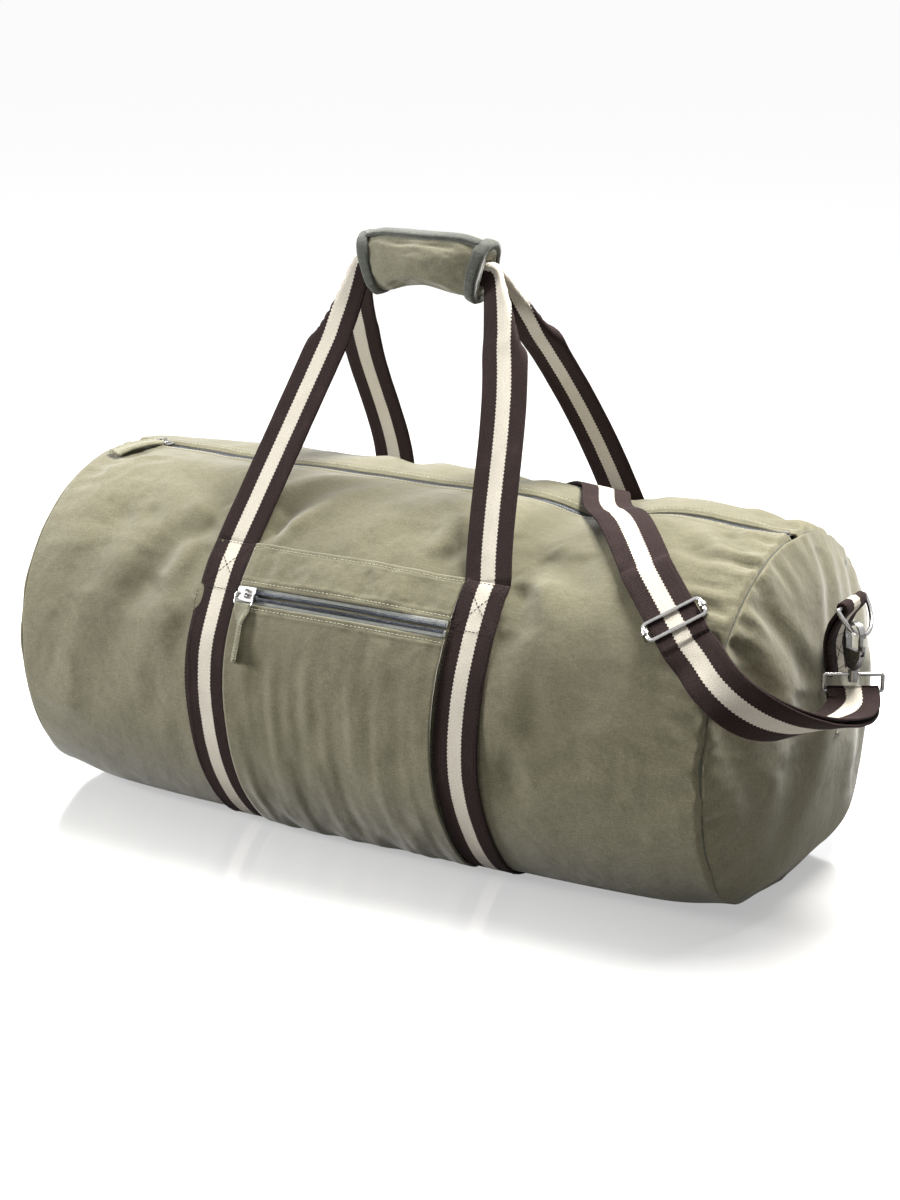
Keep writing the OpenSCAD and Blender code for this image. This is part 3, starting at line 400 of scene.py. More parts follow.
# A stitch's share of the pitch, and the step along a row that gives its direction
STITCH_SHARE, STEP = 0.76, 0.6


def stitches(name, rows, look, thread, pitch=2.9, body="bag"):
    # Each stitch is a short round thread that dips into the cloth at both ends
    # rows: lists of (points, directions out of the cloth)
    ring = np.radians(np.arange(6) * 60)[:, None]
    pts, quads = [], []
    # Rings of a stitch: share along it, height and thickness in threads
    shape = [(-0.5, -0.9, 0.55), (-0.36, 0.25, 1), (0, 0.62, 1.05), (0.36, 0.25, 1),
        (0.5, -0.9, 0.55)]
    for line, out in rows:
        line, out = arr(line), np.broadcast_to(arr(out), np.shape(line))
        d = lengths(line)
        at = lambda c, rows: np.array([np.interp(c, d, rows[:, j]) for j in range(3)])
        k = max(1, int(d[-1] / pitch))
        for c in (np.arange(k) + 0.5) * d[-1] / k:
            p, q = at(c, line), at(min(c + STEP, d[-1]), line)
            t = unit(q - p if np.linalg.norm(q - p) >= 1e-6 else p - at(c - STEP, line))
            n = unit(at(c, out))
            b = np.cross(t, n)
            length = pitch * STITCH_SHARE
            quads.append(grid_faces(5, 6, closed=True, start=6 * len(pts)))
            for along, rise, grow in shape:
                o = p + t * along * length + n * rise * thread
                pts.append(o + (b * np.cos(ring) + n * np.sin(ring)) * thread * grow)
    put(make(name, np.vstack(pts), np.vstack(quads)), look, body=body)


def crossed_box(half, lo, hi, n):
    # Lines of a sewn box with a cross in it, as places across and along
    c = [(-half, lo), (half, lo), (half, hi), (-half, hi)]
    t = np.linspace(0, 1, n)
    for p, q in ((0, 1), (1, 2), (2, 3), (3, 0), (0, 2), (1, 3)):
        yield [c[p][i] + (c[q][i] - c[p][i]) * t for i in (0, 1)]


# Materials
def add(tree, kind, ins=None, **props):
    node = tree.nodes.new(kind)
    for k, v in props.items():
        setattr(node, k, v)
    for k, v in (ins or {}).items():
        if isinstance(v, bpy.types.NodeSocket):
            tree.links.new(v, node.inputs[k])
        else:
            node.inputs[k].default_value = v
    return node


def calc(tree, op, a, b=0.0, c=0.0):
    return add(tree, "ShaderNodeMath", {0: a, 1: b, 2: c}, operation=op).outputs[0]


def total(tree, a, a_share, b, b_share):
    # Sum of two values, each with its weight
    return calc(tree, "ADD", calc(tree, "MULTIPLY", a, a_share), calc(tree, "MULTIPLY", b, b_share))


def waves(tree, value, length):
    return calc(tree, "SINE", calc(tree, "MULTIPLY", value, 2 * pi / length))


def mapped(tree, value, lo, hi, to_lo=0.0, to_hi=1.0):
    return add(tree, "ShaderNodeMapRange", {"Value": value, "From Min": lo, "From Max": hi,
        "To Min": to_lo, "To Max": to_hi}, interpolation_type="SMOOTHSTEP").outputs["Result"]


# Colour sockets of a Mix node
MIX_A, MIX_B, MIX_OUT = 6, 7, 2


def tinted(tree, colour, other, value, lo, hi, to_lo=0.0, to_hi=1.0):
    # Goes from one colour towards another as a value goes from lo to hi
    a, b = (v if isinstance(v, bpy.types.NodeSocket) else (*v, 1) for v in (colour, other))
    return add(tree, "ShaderNodeMix", {"Factor": mapped(tree, value, lo, hi, to_lo, to_hi),
        MIX_A: a, MIX_B: b}, data_type="RGBA").outputs[MIX_OUT]


def spots(tree, where, scale, detail=3.0, rough=0.55):
    return add(tree, "ShaderNodeTexNoise",
        {"Vector": where, "Scale": scale, "Detail": detail, "Roughness": rough}).outputs["Fac"]


def stretched(tree, where, sx, sy, sz=1.0):
    return add(tree, "ShaderNodeVectorMath", {0: where, 1: (sx, sy, sz)},
        operation="MULTIPLY").outputs[0]


def position(tree):
    return add(tree, "ShaderNodeNewGeometry").outputs["Position"]


def cloth_place(t):
    # Place on the cloth in metres: across, along
    at = add(t, "ShaderNodeAttribute", attribute_name="cloth").outputs["Vector"]
    xyz = add(t, "ShaderNodeSeparateXYZ", {0: at})
    return at, xyz.outputs[0], xyz.outputs[1]


def bumped(t, b, height, strength, distance, under=None):
    ins = {"Height": height, "Strength": strength, "Distance": distance}
    if under is not None:
        ins["Normal"] = under
    n = add(t, "ShaderNodeBump", ins).outputs["Normal"]
    t.links.new(n, b.inputs["Normal"])
    return n


def new_look(name, rough, sheen=0.0, metal=0.0, **more):
    m = bpy.data.materials.new(name)
    m.use_nodes = True
    b = m.node_tree.nodes["Principled BSDF"]
    values = {"Roughness": rough, "Metallic": metal, "Sheen Weight": sheen, "Sheen Roughness": 0.5}
    for k, v in {**values, **more}.items():
        b.inputs[k.replace("_", " ")].default_value = v
    return m, m.node_tree, b


def woven_look(name, base, light, dark, pitch=0.00075, rough=0.85, streak=0.5, deep=0.00006):
    m, t, b = new_look(name, rough, 0.35, Specular_IOR_Level=0.25, Sheen_Tint=(0.85, 0.85, 0.84, 1))
    at, u, v = cloth_place(t)
    where = position(t)
    threads = calc(t, "MULTIPLY", waves(t, u, pitch), waves(t, v, pitch))
    threads = calc(t, "MULTIPLY_ADD", threads, 0.5, 0.5)
    warp = spots(t, stretched(t, at, 1500, 160), 1.0, 3)
    weft = spots(t, stretched(t, at, 160, 1500), 1.0, 3)
    slubs = spots(t, stretched(t, at, 500, 30), 1.0, 2)
    patches = spots(t, where, 7.0, 4, 0.6)
    fine = spots(t, where, 60.0, 3, 0.6)
    speck = spots(t, where, 950.0, 2, 0.7)
    # Height of the canvas's folds, used below to paint highlight on ridges and shade in creases
    fold_highlight_and_shade = add(t, "ShaderNodeAttribute", attribute_name="fold").outputs["Fac"]
    grain = total(t, warp, 0.6, weft, 0.4)
    twill = waves(t, calc(t, "ADD", u, v), 0.0021)
    c = tinted(t, base, light, patches, 0.32, 0.7)
    # Painted highlight where the canvas stands out and painted shade in its creases, both from the
    # fold height; the other tints are the cloth's own mottle, grain, slubs, specks and twill
    for other, value, *span in (
            (light, fold_highlight_and_shade, 0.0, 3.5, 0.0, 0.35), (dark, fold_highlight_and_shade, 0.0, -4.5, 0.0, 0.5),
            (dark, grain, 0.35, 0.65, streak, 0.0), (light, slubs, 0.55, 0.75, 0.0, streak * 0.4),
            (dark, fine, 0.5, 0.72, 0.0, 0.28), (dark, speck, 0.36, 0.60, 0.34, 0.0),
            (light, speck, 0.54, 0.74, 0.0, 0.36), (dark, twill, -0.2, 1.0, 0.0, 0.22)):
        c = tinted(t, c, other, value, *span)
    t.links.new(c, b.inputs["Base Color"])
    soft = bumped(t, b, spots(t, where, 30.0, 4, 0.55), 0.6, 0.0032)
    bumped(t, b, total(t, threads, 0.5, grain, 0.8), 0.8, deep, soft)
    sheer = mapped(t, patches, 0.3, 0.7, rough - 0.05, min(1, rough + 0.06))
    t.links.new(sheer, b.inputs["Roughness"])
    return m


def webbing_look(name):
    # Dark, cream and dark in equal parts, with scalloped edges between them
    m, t, b = new_look(name, 0.85, 0.05, Specular_IOR_Level=0.12, Sheen_Tint=(0.5, 0.42, 0.4, 1))
    at, u, v = cloth_place(t)
    off = calc(t, "ABSOLUTE", u)
    edge = calc(t, "MULTIPLY_ADD", waves(t, v, 0.0026), 0.00034, 0.0054)
    diag = waves(t, calc(t, "ADD", off, calc(t, "MULTIPLY", v, 0.9)), 0.0013)
    ribs = waves(t, u, 0.0011)
    fuzz = spots(t, stretched(t, at, 900, 1400), 1.0, 3)
    wear = spots(t, position(t), 45.0, 4, 0.6)
    dark = tinted(t, (0.014, 0.0082, 0.0078), (0.034, 0.021, 0.0195), fuzz, 0.35, 0.7)
    dark = tinted(t, dark, (0.045, 0.028, 0.027), wear, 0.5, 0.8, 0.0, 0.5)
    cream = tinted(t, (0.50, 0.455, 0.385), (0.66, 0.615, 0.53), fuzz, 0.3, 0.7)
    cream = tinted(t, cream, (0.42, 0.375, 0.31), wear, 0.45, 0.8, 0.0, 0.35)
    c = tinted(t, dark, cream, calc(t, "SUBTRACT", edge, off), -0.00016, 0.00016)
    t.links.new(c, b.inputs["Base Color"])
    height = calc(t, "ADD", total(t, diag, 0.5, ribs, 0.35), fuzz)
    selvedge = mapped(t, off, 0.0145, 0.0158)
    height = calc(t, "ADD", height, calc(t, "MULTIPLY", selvedge, 1.5))
    bumped(t, b, height, 0.9, 0.00016)
    return m


def thread_look(name, colour):
    m, t, b = new_look(name, 0.7, 0.05, Specular_IOR_Level=0.25)
    ply = spots(t, position(t), 2600.0, 2)
    dark = tuple(0.6 * c for c in colour)
    t.links.new(tinted(t, dark, colour, ply, 0.35, 0.65), b.inputs["Base Color"])
    bumped(t, b, ply, 0.6, 0.0001)
    return m


def metal_look(name, tone, rough):
    m, t, b = new_look(name, rough, metal=1.0)
    where = position(t)
    cast = spots(t, where, 160.0, 4, 0.65)
    scratch = spots(t, stretched(t, where, 2200, 300, 2600), 1.0, 3)
    dull = tuple(0.72 * c for c in tone)
    t.links.new(tinted(t, tone, dull, cast, 0.4, 0.75), b.inputs["Base Color"])
    t.links.new(mapped(t, scratch, 0.35, 0.75, rough * 0.75, rough * 1.6), b.inputs["Roughness"])
    bumped(t, b, calc(t, "ADD", cast, calc(t, "MULTIPLY", scratch, 0.3)), 0.25, 0.0002)
    return m


def coil_look(name):
    m, t, b = new_look(name, 0.38, Specular_IOR_Level=0.5)
    dust = spots(t, position(t), 300.0, 3)
    c = tinted(t, (0.036, 0.042, 0.066), (0.10, 0.112, 0.145), dust, 0.4, 0.75)
    t.links.new(c, b.inputs["Base Color"])
    t.links.new(mapped(t, dust, 0.4, 0.7, 0.3, 0.55), b.inputs["Roughness"])
    bumped(t, b, dust, 0.2, 0.0001)
    return m


CANVAS = woven_look("canvas", (0.154, 0.142, 0.087), (0.220, 0.202, 0.132), (0.085, 0.078, 0.044))
GRIP_CANVAS = woven_look("grip_canvas",
    (0.185, 0.175, 0.118), (0.25, 0.238, 0.168), (0.10, 0.095, 0.060))
BINDING = woven_look("binding",
    (0.070, 0.074, 0.062), (0.135, 0.142, 0.124), (0.036, 0.038, 0.031),
    pitch=0.0011, streak=0.85, deep=0.00012)
SEAM_TAPE = woven_look("seam_tape",
    (0.075, 0.075, 0.055), (0.11, 0.11, 0.085), (0.045, 0.045, 0.03))
ZIP_TAPE = woven_look("zip_tape",
    (0.290, 0.300, 0.275), (0.38, 0.39, 0.365), (0.170, 0.178, 0.165),
    pitch=0.0009, rough=0.8, streak=0.6, deep=0.0001)
PULL_CLOTH = woven_look("puller_cloth",
    (0.235, 0.228, 0.155), (0.37, 0.36, 0.26), (0.12, 0.115, 0.072),
    pitch=0.0019, streak=0.75, deep=0.00034)
WEBBING = webbing_look("webbing")
NICKEL = metal_look("nickel", (0.52, 0.51, 0.50), 0.22)
NICKEL_DARK = metal_look("nickel_cast", (0.36, 0.355, 0.35), 0.28)
COIL = coil_look("coil")
THREAD = thread_look("thread_olive", (0.46, 0.45, 0.34))
THREAD_DARK = thread_look("thread_dark", (0.020, 0.013, 0.012))


def put(ob, material, node=None, body="bag"):
    ob.data.materials.append(material)
    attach(ob, body)
    if node:
        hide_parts(node)
    return ob


# Canvas of the barrel, one sheet open along the zip
def stations(lo, hi, step, dense, fine):
    # Steps of one size, with smaller ones near the marked places
    out = [lo]
    while out[-1] < hi:
        near = any(abs(out[-1] - d) < w for d, w in dense)
        out.append(out[-1] + (fine if near else step))
    out[-1] = hi
    return np.array(out)


xs = stations(-HALF_L, HALF_L, 2.4, [(-HALF_L, 9), (HALF_L, 9)], 0.9)
turn_a = stations(GAP_A, 360 - GAP_A, 1.15, [(GAP_A, 4), (360 - GAP_A, 4)], 0.3)


def seam_pull(x, a):
    # The sewn edge wanders a little along the barrel
    d = HALF_L - np.abs(x)
    s = fold_angle(a) * ARC
    return np.sign(x) * 1.3 * noise(s / 21 + np.where(x > 0, 0, 31), 0.5) * bell(d / 26)


def barrel(X, A):
    d = HALF_L - np.abs(X)
    P = on_skin(X, A)
    f = np.abs(fold_angle(A))
    # The edges are turned in at the end seams, and hemmed along the zip
    tuck = 3.4 * bell(d / 1.8) * (1 - ramp((f - 118) / 14))
    edge = f * ARC - GAP_A * ARC
    hem = 0.45 * (1 - ramp((edge - 8.5) / 1.6)) - 0.42 * bell((edge - ZIP_SEWN) / 0.8)
    roll = 1.5 * bell((f - GAP_A) * ARC / 1.8)
    P = P + outward(A) * (hem - roll - tuck)[..., None]
    P[..., 0] += seam_pull(X, A)
    return P


X, A = np.meshgrid(xs, turn_a, indexing="ij")
body = shell("canvas_barrel", barrel(X, A), CANVAS_T, joined(A * ARC, X, 0.0), puff(X, A),
    flip=True)
put(body, CANVAS, "body_panel")


# End panels: shallow domes gathered a little at the seam
SIDE_NAME = {1: "right", -1: "left"}
# Creases of the right end, mirrored on the left: two places across and up from its middle,
# a half width and a depth
END_CREASES = [
    (-96, 78, -60, 20, 9, 3.0), (-66, 104, -30, 46, 8, 2.6), (-120, 40, -92, -20, 10, 2.4),
    (20, 116, 6, 70, 8, 2.2), (70, 96, 44, 44, 9, 2.4), (-40, 40, -60, -60, 15, 2.2),
    (60, 30, 66, -50, 14, 2.2),
]


def end_push(side, f, y, z, q):
    # How far the canvas of an end stands off its dome, and how far its middle does
    calm = 1 - ramp((np.abs(f) - 96) / 26)
    hold = 1 - np.exp(-q / 22)
    big = 2.6 * noise(y / 58 + 4 * side, z / 52 + 3) + 1.1 * noise(y / 26 + 9, z / 30 + side)
    big = big + 0.3 * noise(y / 10 + 2, z / 12 + 6 * side)
    big = big + crumple(y, z, 9.3 + side) * (0.5 + 0.9 * ramp(z / 90))
    push = big * hold * (0.35 + 0.65 * calm)
    for y0, z0, y1, z1, half, depth in END_CREASES:
        push = push + crease(y * side, z, y0, z0, y1, z1, half, depth) * hold
    gather = (0.25 + 0.75 * calm) * (0.85 if side > 0 else 0.15)
    gather = gather * (0.3 + 0.7 * ramp((f + 30) / 70)) * (np.abs(f) < 150)
    push = push + puckers(f * ARC * 0.95 + 60 * side, q * 1.6) * gather
    push = push + 4.5 * ramp((np.abs(f) - 104) / 40) * ramp(q / 26) * ramp(1.25 - q / 60)
    return push, float(big[0].mean()) * 0.35


def end_panel(side):
    rho = np.concatenate([np.linspace(0.004, 0.86, 30), np.linspace(0.88, 1, 16)])
    a = np.linspace(0, 360, 300, endpoint=False)
    R, T = np.meshgrid(rho, a, indexing="ij")
    n, m = R.shape
    f, turn = fold_angle(T), np.radians(T)
    rim = skin_r(HALF_L, T, False)
    q = rim * (1 - R)
    y, z = -R * rim * np.sin(turn), R * rim * np.cos(turn)
    push, middle = end_push(side, f, y, z, q)
    N = unit(joined(1.0, -np.sin(turn) * 0.5 * R ** 3, np.cos(turn) * 0.5 * R ** 3))
    P = joined(END_X + END_BULGE * (1 - R ** DOME_POWER), y, BAG_Z + z) + N * push[..., None]
    tuck = 3.0 * bell(q / 1.8) * (1 - ramp((np.abs(f) - 118) / 14))
    P = P - outward(T) * (tuck + heel(f) * R ** 5)[..., None]
    if side < 0:
        P = P + outward(T) * (left_swell(-f) * R ** 3)[..., None]
    P[..., 0] += 1.3 * noise(f * ARC / 21 + (0 if side > 0 else 31), 0.5) * bell(q / 26)
    P[..., 2] = np.maximum(P[..., 2], WEB_T + SEAT + 0.1)
    tip = vec(END_X + END_BULGE + middle, 0, BAG_Z)
    if side < 0:
        P, tip = half_turn(P), half_turn(tip)
    back = vec(side, 0, 0)
    inner = P - back * CANVAS_T * 0.8
    inner = inner - outward(T if side > 0 else -T) * (CANVAS_T * R ** 6)[..., None]
    pts = np.vstack([P.reshape(-1, 3), inner.reshape(-1, 3), tip, tip - back * CANVAS_T])
    last = (n - 1) * m
    faces = [grid_faces(n, m, closed=True, flip=True), grid_faces(n, m, closed=True, start=n * m),
        ring_faces(last, n * m + last, m, flip=True)]
    fans = [[(i + 1) % m, i, 2 * n * m] for i in range(m)]
    fans += [[n * m + i, n * m + (i + 1) % m, 2 * n * m + 1] for i in range(m)]
    uv = joined(y, z, 0.0).reshape(-1, 3)
    uv = np.vstack([uv, uv, np.zeros((2, 3))])
    fold = np.concatenate([push.ravel(), push.ravel(), [0, 0]])
    name = SIDE_NAME[side]
    ob = make("canvas_end_" + name, pts, np.vstack(faces), uv, fold, extra=fans)
    put(ob, CANVAS, "end_panel_" + name)


for end in (1, -1):
    end_panel(end)


# Binding tape over the seam allowance, inside each end
def seam_binding(side):
    a = stations(GAP_A, 360 - GAP_A, 3.0, [], 1)
    w = np.array([-5, -4.6, 0, 4.6, 5, 4.6, 0, -4.6])
    h = np.array([0, 0.5, 0.6, 0.5, 0, -0.5, -0.6, -0.5])
    drop = np.where((a < 6) | (a > 354), 3.0, 0)
    base = on_skin(HALF_L, a, -(CANVAS_T + SEAT + 0.6), False, slack=False)
    base = base - outward(a) * (drop + heel(fold_angle(a)))[:, None] - vec(5, 0, 0)
    lines = (base, vec(1, 0, 0) + 0 * base, outward(a))
    lines = lines if side > 0 else map(half_turn, lines)
    loops = joined(w, h) + np.zeros((len(a), 1, 1))
    name = SIDE_NAME[side]
    ob = swept("tape_inside_" + name, *lines, loops, joined(w, (a * ARC)[:, None], 0.0))
    put(ob, SEAM_TAPE, "seam_binding_" + name)


for end in (1, -1):
    seam_binding(end)


# Webbing bands round the barrel, and the handles that go on from them
BAND_OFF = SEAT + WEB_T / 2
for side, name in SIDE_NAME.items():
    a = stations(HANDLE_A, 360 - HANDLE_A, 2.4, [(HANDLE_A, 6), (360 - HANDLE_A, 6)], 1.0)
    webbing("band_" + name, "webbing_band_" + name, on_skin(side * BAND_X, a, BAND_OFF),
        vec(1, 0, 0), steps=2)

GRIP_R, GRIP_LEAN, GRIP_Z, GRIP_MID = 160.0, 8.0, 232.5, 91 / 2
GRIP_HALF = degrees(GRIP_MID / GRIP_R)
EXIT_A = GRIP_HALF + degrees(7 / GRIP_R)


def on_grip(a, y, r=GRIP_R):
    t = np.radians(a)
    return joined(r * np.sin(t) - GRIP_LEAN, y, GRIP_Z + r * np.cos(t))


def handle_path(face):
    def strand(side):
        low = on_skin(side * BAND_X, -face * HANDLE_A, BAND_OFF)
        high = on_grip(side * EXIT_A, face * 2.15)
        bow, sway, slump = (5, 5, 0) if face < 0 else (11, -4, 8)
        c = np.linspace(0, 1, 15)[:, None]
        bump, dip = 6.75 * c * c * (1 - c), 6.75 * c * (1 - c) * (1 - c)
        return mixed(low, high, c) + np.hstack([(side * bow + sway) * bump, slump * dip, 0 * c])
    middle = on_grip(GRIP_HALF * (1 - 2 * np.arange(9) / 8), face * 2.15)
    return np.vstack([strand(1), middle, strand(-1)[::-1]])


for face, name in ((-1, "front"), (1, "rear")):
    path = handle_path(face)
    n = len(path)
    i = np.arange(n)
    fold = np.clip((np.minimum(i, n - 1 - i) / 14 - 0.70) / 0.29, 0, 1)
    t = headings(path)
    flat = np.where((i < n / 2)[:, None], vec(-1, 0, 0), vec(1, 0, 0))
    side = mixed(flat, unit(joined(-t[:, 2], 0.0, t[:, 0])), fold[:, None])
    webbing("handle_webbing_" + name, "handle_" + name, path, side, fold=fold, level=True, steps=5)


# Padded grip: canvas round both handles, with bound ends and a bound flap
OVAL = 2.4


def oval(t, a, grow=0.0):
    # Half height and half depth of the grip: round in the middle, pressed flat towards its ends
    c, s = np.cos(t), np.sin(t)
    e = ramp(np.abs(a) / GRIP_HALF)
    return ((mixed(16.5, 20.5, e) + grow) * np.sign(c) * np.abs(c) ** (2 / OVAL),
        (mixed(19.5, 13.5, e) + grow) * np.sign(s) * np.abs(s) ** (2 / OVAL))


def grip_point(a, up, front):
    # A point in the grip's section: up from its arc, and to the pocket side
    return on_grip(a, -front, GRIP_R + up)


sa = np.linspace(-GRIP_HALF, GRIP_HALF, 60)
st = np.linspace(0, 2 * pi, 96, endpoint=False)
SA, ST = np.meshgrid(sa, st, indexing="ij")
arc_mm = np.radians(SA) * GRIP_R
edge_d = GRIP_MID - np.abs(arc_mm)
# Filled out, uneven, and pressed in along the flap and in one long dent below it
swell = 1.9 * ramp((edge_d - 5) / 15)
swell = swell + 0.9 * noise(arc_mm / 17 + 4, ST * 3.2) + 0.35 * noise(arc_mm / 6, ST * 9 + 3)
swell = swell - 1.5 * bell((ST - 0.42) / 0.12)
swell = swell - 1.2 * bell((ST - 0.9) / 0.09) * ramp((arc_mm + 26) / 14) * ramp((34 - arc_mm) / 14)
swell = swell * ramp((edge_d - 2.5) / 7)
U0, F0 = oval(ST, SA, -0.8)
outer = grip_point(SA, U0 + np.cos(ST) * swell, F0 + np.sin(ST) * swell)
m = len(st)
# Slot for the handles
inner = grip_point(GRIP_HALF * vec(-1, -0.97, 0.97, 1)[:, None],
    np.clip(np.cos(st) * 14, -8.8, 8.8), np.clip(np.sin(st) * 10, -4.45, 4.45))
n = len(sa)
faces = [grid_faces(n, m, closed=True, flip=True), grid_faces(4, m, closed=True, start=n * m),
    ring_faces(0, n * m, m), ring_faces((n - 1) * m, (n + 3) * m, m, flip=True)]
uv = np.concatenate([joined(arc_mm, ST * 20, 0.0).reshape(-1, 3), np.zeros((4 * m, 3))])
fold = np.concatenate([swell.ravel(), np.zeros(4 * m)])
grip = make("grip_pad", np.vstack([outer.reshape(-1, 3), inner.reshape(-1, 3)]), np.vstack(faces),
    uv, fold)
put(grip, GRIP_CANVAS, "grip_wrap")


def grip_binding():
    parts, faces, uvs, count = [], [], [], 0
    # Folded tape over each end
    prof = np.array([(-1.0, -3.5), (-1.2, -0.5), (-0.9, 1.0), (0.2, 1.7), (2.4, 1.75), (5.2, 1.6),
        (6.6, 1.3), (7.0, 0.4), (6.6, -1.2), (3.0, -1.6), (0.6, -1.8), (0.4, -3.5)])
    for side in (-1, 1):
        along = side * (GRIP_HALF - np.degrees(prof[:, 0] / GRIP_R))
        grow = prof[:, 1]
        uu, ff = oval(st[:, None], along[None, :])
        wob = 0.35 * noise(st * 4.5 + side, 0.3)[:, None]
        uu, ff = uu + np.cos(st)[:, None] * (grow + wob), ff + np.sin(st)[:, None] * (grow + wob)
        P = grip_point(along[None, :], uu, ff)
        q = grid_faces(m + 1, len(prof), closed=True, flip=side > 0)
        parts.append(P.reshape(-1, 3))
        faces.append(q % (m * len(prof)) + count)
        uvs.append(joined(st[:, None] * 20, lengths(prof)[None, :], 0.0).reshape(-1, 3))
        count += m * len(prof)
    # Tape along the flap
    aa = np.linspace(-GRIP_HALF + 2.0, GRIP_HALF - 2.0, 50)
    mid, half = radians(22), 3.6 / 17
    tt = mid + half * np.array([-1, -0.95, -0.5, 0, 0.5, 0.95, 1, 0.6, -0.6])
    gg = np.array([-0.6, 1.5, 1.9, 2.0, 1.9, 1.6, -0.6, -1.5, -1.5])
    arc = np.radians(aa) * GRIP_R
    puff_here = 1.9 * ramp((GRIP_MID - np.abs(arc) - 5) / 15)
    uu, ff = oval(tt[None, :], aa[:, None])
    g = gg[None, :] + puff_here[:, None] * 0.8 + 0.3 * noise(arc / 9, 0.7)[:, None]
    P = grip_point(aa[:, None], uu + np.cos(tt)[None] * g, ff + np.sin(tt)[None] * g)
    parts.append(P.reshape(-1, 3))
    faces.append(grid_faces(50, 9, closed=True, start=count, flip=True))
    uvs.append(joined(np.arange(9)[None, :] * 1.2, arc[:, None], 0.0).reshape(-1, 3))
    ob = make("grip_tape", np.vstack(parts), np.vstack(faces), np.vstack(uvs),
        extra=end_caps(50, 9, count, -1))
    put(ob, BINDING, "grip_binding")


grip_binding()


# Zips: two woven tapes and two wound coils that mesh in the middle
ZIP_GAP, TAPE_T = 0.8, 0.8
# Middle of a coil from its tape's edge and over the tape, its half width and height, its wire
COIL_IN, COIL_UP, COIL_W, COIL_H, COIL_R = 1.2, 0.98, 1.05, 0.7, 0.30


def zip_halves(name, node, halves, x, reach, coil_from, coil_to, place, pitch):
    # x, reach: stations along the zip and how far its tapes go across
    for side, half in halves:
        w = np.linspace(side * ZIP_GAP, side * reach, 8)
        P = np.stack([place(x, y, 0.0) for y in w], 1)
        tape = shell(name + "_tape_" + half, P, TAPE_T, joined(w, x[:, None], 0.0), flip=side < 0)
        put(tape, ZIP_TAPE, node + "_tape_" + half)
        ph = np.arange(int((coil_to - coil_from) / pitch) * 8 + 1) * 2 * pi / 8
        u = coil_from + ph / (2 * pi) * pitch + (pitch / 2 if side > 0 else 0)
        path = place(np.minimum(u, coil_to), side * (ZIP_GAP + COIL_IN + COIL_W * np.cos(ph)),
            COIL_UP + COIL_H * np.sin(ph))
        coil = make(name + "_coil_" + half, *round_bar(path, COIL_R, 6))
        put(coil, COIL, node + "_coil_" + half)


def main_place(x, y, up):
    # The main zip sags with the canvas on the top
    return joined(x, y, TAPE_TOP + puff(x, 0.0) * 0.92 + up)


zip_halves("zip", "main_zip", ((-1, "front"), (1, "rear")), x=np.linspace(-259.7, 259.7, 200),
    reach=12.0, coil_from=-255.4, coil_to=254.8, place=main_place, pitch=1.35)


